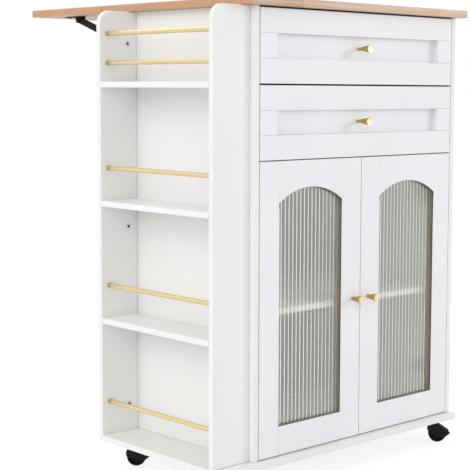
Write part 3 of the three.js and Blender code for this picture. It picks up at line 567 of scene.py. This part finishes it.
black_steel = metal_finish(
    "black_powder_coat", linear(14, 13, 13), linear(26, 25, 25), (0.42, 0.56), metal=0.0, grain=1800,
    relief=0.00005, shine=0.16,
)
STRUT_END = 0.0055  # radius of a strut's round ends, about each pin
RIVET_RADIUS = 0.0042
BRACKET_SHEET = 0.0016
PLATE_SCREWS_FROM_END = (0.008, 0.026)
GUIDE_SCREWS_FROM_END = 0.012
GUIDE_SCREWS_FROM_EDGE = 0.006
for side, inward in (("left", 1), ("right", -1)):
    for part in ("guide", "plate", "strut"):
        dress(f"{side}_stay_{part}", black_steel, 0.0003)
    low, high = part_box(f"{side}_stay_strut")
    pivot = Vector((0, high.y - STRUT_END, high.z - STRUT_END))
    lower_pin = Vector((0, low.y + STRUT_END, low.z + STRUT_END))
    rivets = bmesh.new()
    heads = [(low.x, pivot, -1), (high.x, pivot, 1)]
    heads.append((high.x if inward > 0 else low.x, lower_pin, inward))
    for end_x, place, out in heads:
        add_turned(
            rivets,
            [(-0.0015, 0), (-0.0015, RIVET_RADIUS), (0.0001, RIVET_RADIUS), (0.0005, RIVET_RADIUS * 0.8),
             (0.0008, RIVET_RADIUS * 0.4), (0.0009, 0)],
            (end_x, place.y, place.z), (out, 0, 0), sides=32,
        )
    make_piece(f"{side}_stay_rivets", rivets, black_steel, f"{side}_stay")

    plate_low, plate_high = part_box(f"{side}_stay_plate")
    guide_low, guide_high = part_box(f"{side}_stay_guide")
    plate_screws = bmesh.new()
    for from_end in PLATE_SCREWS_FROM_END:
        foot = ((plate_low.x + plate_high.x) / 2, plate_high.y - from_end, plate_high.z - BRACKET_SHEET)
        add_screw(plate_screws, foot, (0, 0, -1), radius=0.0034, rise=0.0014)
    make_piece(f"{side}_stay_plate_screws", plate_screws, black_steel, "leaf")
    guide_screws = bmesh.new()
    flange_edge = guide_high.x if inward > 0 else guide_low.x
    for screw_z in (guide_low.z + GUIDE_SCREWS_FROM_END, guide_high.z - GUIDE_SCREWS_FROM_END):
        foot = (flange_edge - inward * GUIDE_SCREWS_FROM_EDGE, guide_low.y + BRACKET_SHEET, screw_z)
        add_screw(guide_screws, foot, (0, 1, 0), radius=0.0036, rise=0.0014)
    make_piece(f"{side}_stay_guide_screws", guide_screws, black_steel, "root")

# ---- Drawers ----
# A drawer is a plain box of thin white board, faced with a lacquered frame and panel front: two rails
# that run its full width, two short stiles between them, and a thin panel sunk behind.


def add_block(shape, low, high, edge=0.0005, segments=2):
    """Adds a closed block between two corners, with eased edges."""
    low, high = Vector(low), Vector(high)
    corners = bmesh.ops.create_cube(shape, size=1.0)["verts"]
    for corner in corners:
        corner.co = [a + (b - a) * (c + 0.5) for a, b, c in zip(low, high, corner.co)]
    if edge:
        rims = list(dict.fromkeys(rim for corner in corners for rim in corner.link_edges))
        bmesh.ops.bevel(
            shape, geom=rims, offset=edge, segments=segments, profile=0.5, affect="EDGES",
            offset_type="OFFSET", clamp_overlap=True,
        )


lacquer = white_finish("white_lacquer", linear(236, 237, 240), linear(240, 241, 244), (0.34, 0.44), 1400)
drawer_foil = white_finish("drawer_foil", linear(228, 226, 220), linear(236, 234, 229), (0.5, 0.62), 600)

DRAWER_STILE = 0.043
DRAWER_RAIL = 0.0455
PANEL_SINK = 0.013
JOINT = 0.0001  # half the hairline between two members
MEMBER_EDGE = 0.0005
KNOB_LENGTH = 0.025
KNOB_STEM_RADIUS = 0.003
KNOB_PROFILE = [
    (0, 0.0033), (0.0003, 0.0035), (0.0010, 0.0035), (0.0210, 0.0070), (0.0218, 0.0073),
    (0.0223, 0.0078), (0.0228, 0.0080), (0.0242, 0.0080), (0.0247, 0.0079), (0.0250, 0.0076),
    (0.0250, 0.0066), (0.0248, 0.0063), (0.0248, 0),
]

knob_brass, tree, shader, point = new_finish("turned_brass")
shader.inputs["Metallic"].default_value = 1.0
turning = add_noise(tree, point, 1400.0, detail=3.0, stretch=(0.2, 1, 0.2))
# The cone's darker gold is painted shade and the face's pale cream is a painted highlight, switched by the
# way the surface faces.
shaded_cone_tone = add_ramp(tree, turning, (0.3, linear(180, 146, 86)), (0.7, linear(206, 174, 112)))
highlit_face_tone = add_ramp(tree, turning, (0.3, linear(222, 204, 166)), (0.7, linear(236, 220, 186)))
highlit_face_share = add_share(tree, add_facing(tree)["Y"], -0.6, -0.95)
knob_gloss = add_range(tree, add_noise(tree, point, 120.0, 4.0), 0.34, 0.46)
add_skin(tree, shader, add_mix(tree, highlit_face_share, shaded_cone_tone, highlit_face_tone), knob_gloss)
add_relief(tree, shader, turning, 0.00001)


def make_knob(node, body):
    """A knob turned from brass: a cone that widens outward to a flat face, on a stem if it stands deep."""
    low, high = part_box(node)
    shape = bmesh.new()
    stem = high.y - low.y - KNOB_LENGTH
    profile = [(stem + along, radius) for along, radius in KNOB_PROFILE]
    if stem > 0.001:
        profile = [(-0.0003, 0.0036), (0.0006, 0.0036), (0.0010, KNOB_STEM_RADIUS),
                   (stem, KNOB_STEM_RADIUS)] + profile
    else:
        profile = [(-0.0003, 0.0033)] + profile
    profile = [(-0.0003, 0)] + profile
    foot = ((low.x + high.x) / 2, high.y, (low.z + high.z) / 2)
    add_turned(shape, profile, foot, (0, -1, 0), sides=48)
    make_piece(node + "_turned", shape, knob_brass, body, [node])


for level in ("upper", "lower"):
    low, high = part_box(f"{level}_drawer_front")
    front = bmesh.new()
    for z0, z1 in ((low.z, low.z + DRAWER_RAIL - JOINT), (high.z - DRAWER_RAIL + JOINT, high.z)):
        add_block(front, (low.x, low.y, z0), (high.x, high.y, z1), MEMBER_EDGE)
    for x0, x1 in ((low.x, low.x + DRAWER_STILE), (high.x - DRAWER_STILE, high.x)):
        add_block(
            front, (x0, low.y, low.z + DRAWER_RAIL + JOINT), (x1, high.y, high.z - DRAWER_RAIL - JOINT),
            MEMBER_EDGE,
        )
    add_block(
        front,
        (low.x + DRAWER_STILE + JOINT, low.y + PANEL_SINK, low.z + DRAWER_RAIL + JOINT),
        (high.x - DRAWER_STILE - JOINT, high.y - 0.0002, high.z - DRAWER_RAIL - JOINT),
        0.0,
    )
    body = f"{level}_drawer"
    node = f"{level}_drawer_front"
    make_piece(node + "_frame", front, lacquer, body, [node])
    dress(f"{level}_drawer_box", drawer_foil, 0.0005)
    make_knob(f"{level}_drawer_knob", body)

# ---- Drawer runners ----
# Each drawer rides on two zinc-plated runners: a channel screwed to the cabinet's side, and a slimmer
# channel on the drawer's side that slides within it. Their rollers, inside the channels, aren't made.

RUNNER_SHEET = 0.0012
RUNNER_OVERLAP = 0.9 * RUNNER_SHEET  # where a flange starts, within the web
RUNNER_SCREWS = 4
RUNNER_SCREW_FROM_END = 0.02
SLIDER_SINK = 0.0045  # of the slider's web and flanges inside the channel
SLIDER_FLANGE_START = 0.0052


def add_strip(shape, wall_x, inward, depths, low, high):
    """A strip of a runner along Y: depths are from the wall inward, low and high are (y, z) corners."""
    x0, x1 = sorted(wall_x + inward * depth for depth in depths)
    add_block(shape, (x0, *low), (x1, *high), 0.0003, 1)


for level in ("upper", "lower"):
    for side, inward in (("left", 1), ("right", -1)):
        node = f"{level}_{side}_runner"
        low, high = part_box(node)
        wall_x, open_x = (low.x, high.x) if inward > 0 else (high.x, low.x)
        ends = (low.y, high.y)
        flanges = (RUNNER_OVERLAP, abs(open_x - wall_x))
        fixed = bmesh.new()
        for depths, z0, z1 in (
            ((0, RUNNER_SHEET), low.z, high.z),
            (flanges, low.z, low.z + RUNNER_SHEET),
            (flanges, high.z - RUNNER_SHEET, high.z),
        ):
            add_strip(fixed, wall_x, inward, depths, (ends[0], z0), (ends[1], z1))
        screwed = high.y - low.y - 2 * RUNNER_SCREW_FROM_END
        for i in range(RUNNER_SCREWS):
            screw_y = low.y + RUNNER_SCREW_FROM_END + i * screwed / (RUNNER_SCREWS - 1)
            foot = (wall_x + inward * RUNNER_SHEET, screw_y, (low.z + high.z) / 2)
            add_screw(fixed, foot, (inward, 0, 0), radius=0.0032, rise=0.001)
        make_piece(node + "_channel", fixed, zinc, "root", [node])

        box_low, box_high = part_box(f"{level}_drawer_box")
        drawer_side = box_low.x if inward > 0 else box_high.x
        flanges = (SLIDER_FLANGE_START, abs(drawer_side - wall_x))
        z0, z1 = low.z + SLIDER_SINK, high.z - SLIDER_SINK
        slider = bmesh.new()
        for depths, foot_z, head_z in (
            ((SLIDER_SINK, SLIDER_SINK + RUNNER_SHEET), z0, z1),
            (flanges, z0, z0 + RUNNER_SHEET),
            (flanges, z1 - RUNNER_SHEET, z1),
        ):
            add_strip(slider, wall_x, inward, depths, (ends[0], foot_z), (ends[1], head_z))
        make_piece(f"{level}_{side}_slider", slider, zinc, f"{level}_drawer")

# ---- Doors ----
# Each door is a lacquered frame: full-height stiles, a bottom rail and a top rail cut to a flat arch.
# A pane of reeded glass lies in a groove all round; its light and dark stripes are painted reflection
# and painted shade on the reeds' flanks. A thin brown seal edges the opening's front, its dark tone
# partly painted shade of the reveal, and beige retainers line it before and behind the pane.


def cut_away(shape, tool):
    """Takes one solid out of another and gives what is left."""
    made = []
    for name, part in (("kept", shape), ("tool", tool)):
        bmesh.ops.recalc_face_normals(part, faces=part.faces)
        mesh = bpy.data.meshes.new(name)
        part.to_mesh(mesh)
        part.free()
        holder = bpy.data.objects.new(name, mesh)
        bpy.context.collection.objects.link(holder)
        made.append(holder)
    kept, cutter = made
    step = kept.modifiers.new("cut", "BOOLEAN")
    step.operation = "DIFFERENCE"
    step.solver = "EXACT"
    step.object = cutter
    depsgraph = bpy.context.evaluated_depsgraph_get()
    result = bmesh.new()
    result.from_mesh(kept.evaluated_get(depsgraph).to_mesh())
    for holder in made:
        bpy.data.objects.remove(holder)
    return result


def add_prism(shape, outline, along, start, end):
    """Adds a solid with that outline, made thick along an axis from start to end."""
    place = {
        "x": lambda a, b, c: (c, a, b),
        "y": lambda a, b, c: (a, c, b),
        "z": lambda a, b, c: (a, b, c),
    }[along]
    near = [shape.verts.new(place(a, b, start)) for a, b in outline]
    far = [shape.verts.new(place(a, b, end)) for a, b in outline]
    shape.faces.new(near)
    shape.faces.new(far)
    for i in range(len(outline)):
        j = (i + 1) % len(outline)
        shape.faces.new((near[i], near[j], far[j], far[i]))


DOOR_STILE = 0.050
MEETING_STILE = 0.054
DOOR_TOP_RAIL = 0.051
DOOR_BOTTOM_RAIL = 0.055
ARCH_RISE = 0.027
ARCH_STEPS = 40
GROOVE_GAP = Vector((0.0005, 0.00015, 0.0005))
FLUTES_TO_A_PANE = 18
FLUTE_DEPTH = 0.0018
STEPS_TO_A_FLUTE = 16
BLUR_SHARE = 0.3  # of what shows through the glass
SEAL = 0.0005
SEAL_DEPTH = 0.0026
CUP_RADIUS = 0.0165
CUP_DEPTH = 0.007
CUP_FROM_EDGE = 0.0235
CUP_BORE = CUP_RADIUS - 0.0012

glass = bpy.data.materials.new("reeded_glass")
glass.use_nodes = True
glass_tree = glass.node_tree
glass_tree.nodes.clear()
ray = add_node(glass_tree, "LightPath").outputs
unseen = add_sum(glass_tree, "MAXIMUM", ray["Is Shadow Ray"], ray["Is Diffuse Ray"])
clear = add_node(glass_tree, "BsdfTransparent", {"Color": (0.98, 0.98, 0.975, 1)})
sheen = add_node(glass_tree, "BsdfGlossy", {"Color": (1, 1, 0.99, 1), "Roughness": 0.2})
# The reeds' stripes are painted light: a glossy reflection laid on the flanks that face one way, and a
# darker tint, painted shade, on the flanks that face the other, chosen by the pane's own normal.
reed_facing = add_facing(glass_tree)
front = add_share(glass_tree, reed_facing["Y"], -0.2, -0.6)
painted_reflection_flank = add_share(glass_tree, reed_facing["X"], -0.08, 0.08, most=0.66)
painted_shade_flank = add_share(glass_tree, reed_facing["X"], 0.02, -0.2)
painted_reflection_share = add_sum(glass_tree, "MULTIPLY", painted_reflection_flank, front)
painted_shade_share = add_sum(glass_tree, "MULTIPLY", painted_shade_flank, front)
tint_and_painted_shade = add_mix(glass_tree, painted_shade_share, (0.94, 0.95, 0.93, 1), (0.79, 0.81, 0.78, 1))
sharp = add_node(glass_tree, "BsdfTransparent", {"Color": tint_and_painted_shade})
blurred = add_node(glass_tree, "BsdfRefraction", {"Color": tint_and_painted_shade, "IOR": 1.06, "Roughness": 0.35})
look = sharp.outputs[0]
for share, other in ((BLUR_SHARE, blurred), (painted_reflection_share, sheen), (unseen, clear)):
    look = add_node(glass_tree, "MixShader", {0: share, 1: look, 2: other.outputs[0]}).outputs[0]
add_node(glass_tree, "OutputMaterial", {"Surface": look})

# The seal's dark brown is partly its own colour and partly painted shade of the reveal in front of the
# pane.
seal_brown_and_shade = metal_finish(
    "brown_seal_and_shade", linear(62, 50, 38), linear(84, 68, 52), (0.5, 0.7), metal=0.0, relief=0.00004, shine=0.3,
)
retainer_beige = metal_finish(
    "beige_retainer", linear(142, 122, 92), linear(164, 142, 112), (0.5, 0.7), metal=0.0, relief=0.00004,
    shine=0.3,
)


def add_lining(shape, outline, thickness, start, end):
    """Lines an opening with a strip that stands in from its outline, from start to end along Y."""
    count = len(outline)
    rings = []
    for inset, y in ((0, start), (thickness, start), (thickness, end), (0, end)):
        ring = []
        for i in range(count):
            before, here, after = (Vector(outline[(i + step) % count]) for step in (-1, 0, 1))
            sides = [(here - before).normalized(), (after - here).normalized()]
            inward = sum((Vector((-side.y, side.x)) for side in sides), Vector((0, 0)))
            place = here + inward * (2 * inset / inward.length_squared)
            ring.append(shape.verts.new((place.x, y, place.y)))
        rings.append(ring)
    for near, far in zip(rings, rings[1:] + rings[:1]):
        for i in range(count):
            j = (i + 1) % count
            shape.faces.new((near[i], near[j], far[j], far[i]))


for side in ("left", "right"):
    low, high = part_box(f"{side}_door_frame")
    left_stile = DOOR_STILE if side == "left" else MEETING_STILE
    right_stile = MEETING_STILE if side == "left" else DOOR_STILE
    open_left = low.x + left_stile
    open_right = high.x - right_stile
    sill = low.z + DOOR_BOTTOM_RAIL
    crown = high.z - DOOR_TOP_RAIL
    spring = crown - ARCH_RISE
    members = bmesh.new()
    add_block(members, low, (open_left - JOINT, high.y, high.z), 0)
    add_block(members, (open_right + JOINT, low.y, low.z), high, 0)
    add_block(members, (open_left + JOINT, low.y, low.z), (open_right - JOINT, high.y, sill), 0)
    add_block(members, (open_left + JOINT, low.y, spring), (open_right - JOINT, high.y, high.z), 0)

    half = (open_right - open_left) / 2
    arch_radius = (half ** 2 + ARCH_RISE ** 2) / (2 * ARCH_RISE)
    arch_half = math.asin(half / arch_radius)
    arch = []
    for i in range(ARCH_STEPS + 1):
        angle = arch_half * (1 - 2 * i / ARCH_STEPS)
        arch.append((
            (open_left + open_right) / 2 + arch_radius * math.sin(angle),
            crown - arch_radius * (1 - math.cos(angle)),
        ))
    arch_tool = bmesh.new()
    right_foot = [(open_right + 0.001, spring - 0.01), (open_right + 0.001, spring)]
    left_foot = [(open_left - 0.001, spring), (open_left - 0.001, spring - 0.01)]
    add_prism(arch_tool, right_foot + arch + left_foot, "y", low.y - 0.01, high.y + 0.01)
    pane_low, pane_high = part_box(f"{side}_door_glass")
    groove_tool = bmesh.new()
    add_block(groove_tool, pane_low - GROOVE_GAP, pane_high + GROOVE_GAP, 0)
    cup_x = low.x + CUP_FROM_EDGE if side == "left" else high.x - CUP_FROM_EDGE
    bores = bmesh.new()
    for level in ("lower", "upper"):
        hinge_low, hinge_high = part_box(f"{side}_door_{level}_hinge")
        add_turned(
            bores, [(-CUP_DEPTH, 0), (-CUP_DEPTH, CUP_BORE), (0.001, CUP_BORE), (0.001, 0)],
            (cup_x, high.y, (hinge_low.z + hinge_high.z) / 2), (0, 1, 0), sides=40,
        )
    for tool in (arch_tool, groove_tool, bores):
        members = cut_away(members, tool)
    door = f"{side}_door"
    frame_piece = make_piece(
        f"{side}_door_members", members, lacquer, door, [f"{side}_door_frame"],
    )
    add_ease(frame_piece, MEMBER_EDGE, 30)
    frame_piece.modifiers.move(1, 0)

    pane = bmesh.new()
    flute = (pane_high.x - pane_low.x) / FLUTES_TO_A_PANE
    outline = [(pane_high.x, pane_high.y), (pane_low.x, pane_high.y)]
    for i in range(FLUTES_TO_A_PANE * STEPS_TO_A_FLUTE + 1):
        hollow = FLUTE_DEPTH * (2 * (i % STEPS_TO_A_FLUTE) / STEPS_TO_A_FLUTE - 1) ** 2
        outline.append((pane_low.x + flute * i / STEPS_TO_A_FLUTE, pane_low.y + hollow))
    add_prism(pane, outline, "z", pane_low.z, pane_high.z)
    make_piece(
        f"{side}_door_pane", pane, glass, door, [f"{side}_door_glass"], keep_normals=True,
    )
    opening = [(open_left, sill), (open_right, sill)] + arch
    seal = bmesh.new()
    add_lining(seal, opening, SEAL, low.y + 0.0007, low.y + SEAL_DEPTH)
    make_piece(f"{side}_door_seal", seal, seal_brown_and_shade, door)
    retainer = bmesh.new()
    add_lining(retainer, opening, SEAL, low.y + SEAL_DEPTH, pane_low.y - 0.0001)
    add_lining(retainer, opening, SEAL, pane_high.y + 0.0002, high.y - 0.003)
    make_piece(f"{side}_door_retainer", retainer, retainer_beige, door)
    make_knob(f"{side}_door_knob", door)

# ---- Door catches ----
# Two white magnetic catches hang under the divider board, one behind each door's free corner. Each
# draws a zinc-plated disc that is screwed to the back of its door.

CATCH_FROM_GAP = (0.003, 0.031)
CATCH_BEHIND_DOOR = (0.0028, 0.0223)
CATCH_HEIGHT = 0.0095
CATCH_SCREW_FROM_END = 0.005
POLE_FROM_END = 0.006
POLE_SHEET = 0.0014
STRIKE_RADIUS = 0.008
gap_x = (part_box("left_door_frame")[1].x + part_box("right_door_frame")[0].x) / 2
door_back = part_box("left_door_frame")[1].y
under_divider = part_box("divider_board")[0].z
for side, out in (("left", -1), ("right", 1)):
    xs = sorted(gap_x + out * distance for distance in CATCH_FROM_GAP)
    y0, y1 = (door_back + distance for distance in CATCH_BEHIND_DOOR)
    z0, z1 = under_divider - CATCH_HEIGHT, under_divider
    catch = bmesh.new()
    add_block(catch, (xs[0], y0 + 0.0006, z0), (xs[1], y1, z1), 0.0012)
    for screw_x in (xs[0] + CATCH_SCREW_FROM_END, xs[1] - CATCH_SCREW_FROM_END):
        add_screw(catch, (screw_x, (y0 + y1) / 2, z0), (0, 0, -1), radius=0.0028)
    make_piece(f"{side}_catch", catch, white_plastic, "root")
    poles = bmesh.new()
    for z in (z0 + 0.0022, z1 - 0.0036):
        pole_end = (xs[1] - POLE_FROM_END, y0 + 0.002, z + POLE_SHEET)
        add_block(poles, (xs[0] + POLE_FROM_END, y0, z), pole_end, 0.0001, 1)
    make_piece(f"{side}_catch_poles", poles, zinc, "root")
    strike = bmesh.new()
    middle = (sum(xs) / 2, door_back, (z0 + z1) / 2)
    rim = STRIKE_RADIUS
    add_turned(
        strike,
        [(-0.0002, 0), (-0.0002, rim), (0.0006, rim), (0.0009, rim - 0.0003), (0.0009, 0.0022),
         (0.0005, 0.0016), (0.0005, 0)],
        middle, (0, 1, 0), sides=36,
    )
    make_piece(f"{side}_door_strike", strike, zinc, f"{side}_door")

# ---- Door hinges ----
# Two concealed hinges to a door: a plate screwed to the cabinet's side with an arm on it, a round cup
# let into the back of the stile, and links between them that fold away into the cup.

CUP_FLANGE = 0.0012
CUP_WALL = 0.0016
LINK_HALF = 0.0045
LINK_HALF_SHEET = 0.0012
LINK_APART = 0.0032  # from the hinge's middle to each link's
LINK_STEPS = 24
LINK_SECTION = [
    (-LINK_HALF, -LINK_HALF_SHEET), (LINK_HALF, -LINK_HALF_SHEET), (LINK_HALF, LINK_HALF_SHEET),
    (-LINK_HALF, LINK_HALF_SHEET),
]

for side, inward in (("left", 1), ("right", -1)):
    door_low, door_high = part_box(f"{side}_door_frame")
    link_x = (door_low.x if inward > 0 else door_high.x) + inward * CUP_FROM_EDGE
    for level in ("lower", "upper"):
        node = f"{side}_door_{level}_hinge"
        dress(node, zinc, 0.0006)
        low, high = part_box(node)
        middle_z = (low.z + high.z) / 2
        cup = bmesh.new()
        add_turned(
            cup,
            [(0, CUP_RADIUS), (CUP_FLANGE * 0.7, CUP_RADIUS), (CUP_FLANGE, CUP_RADIUS - 0.0004),
             (CUP_FLANGE, CUP_RADIUS - 0.003), (0.0013 - CUP_DEPTH, CUP_RADIUS - 0.004),
             (0.0013 - CUP_DEPTH, 0), (0.0003 - CUP_DEPTH, 0), (0.0003 - CUP_DEPTH, CUP_RADIUS - CUP_WALL),
             (0, CUP_RADIUS - CUP_WALL)],
            (link_x, door_high.y, middle_z), (0, 1, 0), sides=40, closed=True,
        )
        make_piece(f"{side}_door_{level}_hinge_cup", cup, zinc, f"{side}_door")

        nose_y = low.y + 0.002
        cup_y = door_high.y + 0.0015 - CUP_DEPTH
        link = bmesh.new()
        for link_z in (middle_z - LINK_APART, middle_z + LINK_APART):
            rings = []
            for i in range(LINK_STEPS + 1):
                y = nose_y + (cup_y - nose_y) * i / LINK_STEPS
                rings.append([link.verts.new((link_x + dx, y, link_z + dz)) for dx, dz in LINK_SECTION])
            link.faces.new(rings[0])
            link.faces.new(rings[-1])
            for near, far in zip(rings, rings[1:]):
                for i in range(4):
                    j = (i + 1) % 4
                    link.faces.new((near[i], near[j], far[j], far[i]))
        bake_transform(make_object(f"{side}_door_{level}_hinge_links", link, zinc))

# ---- Casters ----
# Four small swivel casters under the base: a zinc plate with its ball race, a black steel fork, and a
# black wheel on a riveted axle. The two on the left end have a brake pedal.

rubber, tree, shader, point = new_finish("black_wheel")
mould = add_noise(tree, point, 260.0, detail=3.0)
mould_tone = add_ramp(tree, mould, (0.3, linear(9, 9, 9)), (0.7, linear(18, 17, 17)))
shader.inputs["Specular IOR Level"].default_value = 0.14
add_skin(tree, shader, mould_tone, add_range(tree, add_noise(tree, point, 90.0, 3.0), 0.42, 0.6))
add_relief(tree, shader, add_noise(tree, point, 2600.0, 1.0), 0.00003)

WHEEL_RADIUS = 0.019
WHEEL_HALF = 0.0085
CASTER_TRAIL = 0.018
CASTER_SHEET = 0.002
LEG_NEAR = 0.0095
PEDAL_ROD = (0.0408, 0.021)
PEDAL_TILT = math.radians(35.5)
ROD_BOSS = 0.0033
LEG_BACK = [(0.001, 0.042), (0.001, 0.036), (-0.002, 0.030), (-0.002, 0.023), (0.001, 0.019)]
LEG_FOOT = 0.012  # from the rod's boss back along the leg's sloping foot
FORK_BACK = -0.012
FORK_NOSE = 0.016
CROWN = (0.040, 0.042)
WHEEL_RIBS = 8
PEDAL_RIDGES = 4
RIDGE_PITCH = 0.0022
PEDAL_HUB_HALF = 0.0092
PLATE_CORNER = 0.005
PLATE_SCREW_FROM_EDGE = 0.0055


def arc(centre_a, centre_b, radius, start, end, steps):
    """Points along an arc, from start to end in half turns."""
    angles = [math.pi * (start + (end - start) * i / steps) for i in range(steps + 1)]
    return [(centre_a + radius * math.cos(a), centre_b + radius * math.sin(a)) for a in angles]


def fork_shape():
    """The fork, with its swivel on the origin and the wheel's axle along Y."""
    shape = bmesh.new()
    leg = LEG_BACK + arc(CASTER_TRAIL, WHEEL_RADIUS, 0.006, 1.2, 1.6, 10)
    slope = Vector((math.cos(PEDAL_TILT), math.sin(PEDAL_TILT)))
    boss_foot = Vector(PEDAL_ROD) + ROD_BOSS * Vector((slope.y, -slope.x))
    leg.append(tuple(boss_foot - LEG_FOOT * slope))
    leg += arc(*PEDAL_ROD, ROD_BOSS, PEDAL_TILT / math.pi - 0.5, 1 / 3, 12)
    leg.append((FORK_NOSE, CROWN[1]))
    for near in (LEG_NEAR, -LEG_NEAR - CASTER_SHEET):
        add_prism(shape, leg, "y", near, near + CASTER_SHEET)
    add_block(
        shape, (FORK_BACK, -LEG_NEAR - 0.0001, CROWN[0]), (FORK_NOSE, LEG_NEAR + 0.0001, CROWN[1]), 0
    )
    outer = LEG_NEAR + CASTER_SHEET
    for (rod_x, rod_z), radius in (((CASTER_TRAIL, WHEEL_RADIUS), 0.003), (PEDAL_ROD, 0.0016)):
        add_turned(
            shape,
            [(-outer - 0.001, 0), (-outer - 0.001, radius * 1.1), (-outer - 0.0001, radius * 1.5),
             (-outer, radius), (outer, radius), (outer + 0.0001, radius * 1.5),
             (outer + 0.001, radius * 1.1), (outer + 0.001, 0)],
            (rod_x, 0, rod_z), (0, 1, 0), sides=24,
        )
    return shape


def wheel_shape():
    """The wheel: rounded tread, a sunk web on each side with ribs, and a hub."""
    shape = bmesh.new()
    half = WHEEL_HALF
    side = [
        (half - 0.0036, 0.0062), (half - 0.0006, 0.0060), (half - 0.0002, 0.0056), (half - 0.0002, 0.0032),
    ]
    rim = [
        (half - 0.0036, 0.0136), (half - 0.0010, 0.0142), (half - 0.0002, 0.0150), (half - 0.0004, 0.0164),
        (half - 0.0014, 0.0180), (half - 0.0028, 0.0188), (half - 0.0045, WHEEL_RADIUS),
    ]
    upper = list(reversed(rim)) + side
    lower = [(-along, radius) for along, radius in reversed(upper)]
    add_turned(
        shape, upper + lower, (CASTER_TRAIL, 0, WHEEL_RADIUS), (0, 1, 0), sides=56, closed=True,
    )
    for out in (1, -1):
        for i in range(WHEEL_RIBS):
            rib = bmesh.new()
            ys = sorted((out * (half - 0.0037), out * (half - 0.0012)))
            add_block(rib, (0.0058, ys[0], -0.0006), (0.0142, ys[1], 0.0006), 0.0002, 1)
            turn = Matrix.Rotation(2 * math.pi * i / WHEEL_RIBS, 4, "Y")
            rib.transform(Matrix.Translation((CASTER_TRAIL, 0, WHEEL_RADIUS)) @ turn)
            mesh = bpy.data.meshes.new("rib")
            rib.to_mesh(mesh)
            rib.free()
            shape.from_mesh(mesh)
            bpy.data.meshes.remove(mesh)
    return shape


def pedal_shape():
    """The brake pedal on its rod: a hub and a ribbed pad that tilts up while the brake is off."""
    shape = bmesh.new()
    add_block(shape, (-0.004, -0.008, -0.0038), (0.014, 0.008, -0.0014), 0.0006)
    for i in range(PEDAL_RIDGES):
        ridge_x = 0.0050 + i * RIDGE_PITCH
        add_block(shape, (ridge_x, -0.0065, -0.0016), (ridge_x + 0.0011, 0.0065, -0.0009), 0.0003, 1)
    shape.transform(Matrix.Rotation(-PEDAL_TILT, 4, "Y"))
    hub = PEDAL_HUB_HALF
    add_turned(
        shape, [(-hub, 0.0019), (-hub, 0.0032), (hub, 0.0032), (hub, 0.0019)], (0, 0, 0), (0, 1, 0),
        closed=True,
    )
    shape.transform(Matrix.Translation((PEDAL_ROD[0], 0, PEDAL_ROD[1])))
    return shape


def plate_shape(low, high):
    """The caster's top plate with rounded corners, four screws and the ball race under it."""
    shape = bmesh.new()
    middle = (low + high) / 2
    half = (high.x - low.x) / 2
    straight = half - PLATE_CORNER
    screwed = half - PLATE_SCREW_FROM_EDGE
    outline = []
    for turn, (sx, sy) in enumerate(((1, 1), (-1, 1), (-1, -1), (1, -1))):
        outline += arc(
            middle.x + sx * straight, middle.y + sy * straight, PLATE_CORNER, turn / 2, turn / 2 + 0.5, 6,
        )
    add_prism(shape, outline, "z", high.z - CASTER_SHEET, high.z)
    for sx in (-1, 1):
        for sy in (-1, 1):
            foot = (middle.x + sx * screwed, middle.y + sy * screwed, high.z - CASTER_SHEET)
            add_screw(shape, foot, (0, 0, -1), radius=0.0034, rise=0.0014)
    race_top = high.z - CASTER_SHEET + 0.0002
    drop = race_top - low.z
    add_turned(
        shape,
        [(0, 0), (0, 0.0132), (drop * 0.3, 0.0130), (drop * 0.55, 0.0118), (drop * 0.7, 0.0124),
         (drop * 0.85, 0.0126), (drop, 0.0118), (drop, 0)],
        (middle.x, middle.y, race_top), (0, 0, -1), sides=40,
    )
    return shape


for caster in ("front_left", "front_right", "rear_left", "rear_right"):
    swivel = Vector(joints[f"{caster}_caster_swivel"]["pos_m"])
    axle = Vector(joints[f"{caster}_wheel_roll"]["pos_m"])
    trail = axle - swivel
    heading = math.atan2(trail.y, trail.x)
    stand = Matrix.Translation((swivel.x, swivel.y, 0)) @ Matrix.Rotation(heading, 4, "Z")
    plate = plate_shape(*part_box(f"{caster}_caster_plate"))
    make_piece(f"{caster}_plate", plate, zinc, "root", [f"{caster}_caster_plate"])
    parts = [("fork", fork_shape(), black_steel, "swivel", "black_steel", f"{caster}_caster_fork")]
    parts.append(("wheel", wheel_shape(), rubber, "wheel", "black_plastic", f"{caster}_caster_wheel"))
    if f"{caster}_brake" in joints:
        parts.append(("pedal", pedal_shape(), rubber, "pedal", "black_plastic", f"{caster}_brake_pedal"))
    for part, shape, finish, body, slot, node in parts:
        shape.transform(stand)
        make_piece(f"{caster}_{part}_body", shape, finish, f"{caster}_{body}", [node])
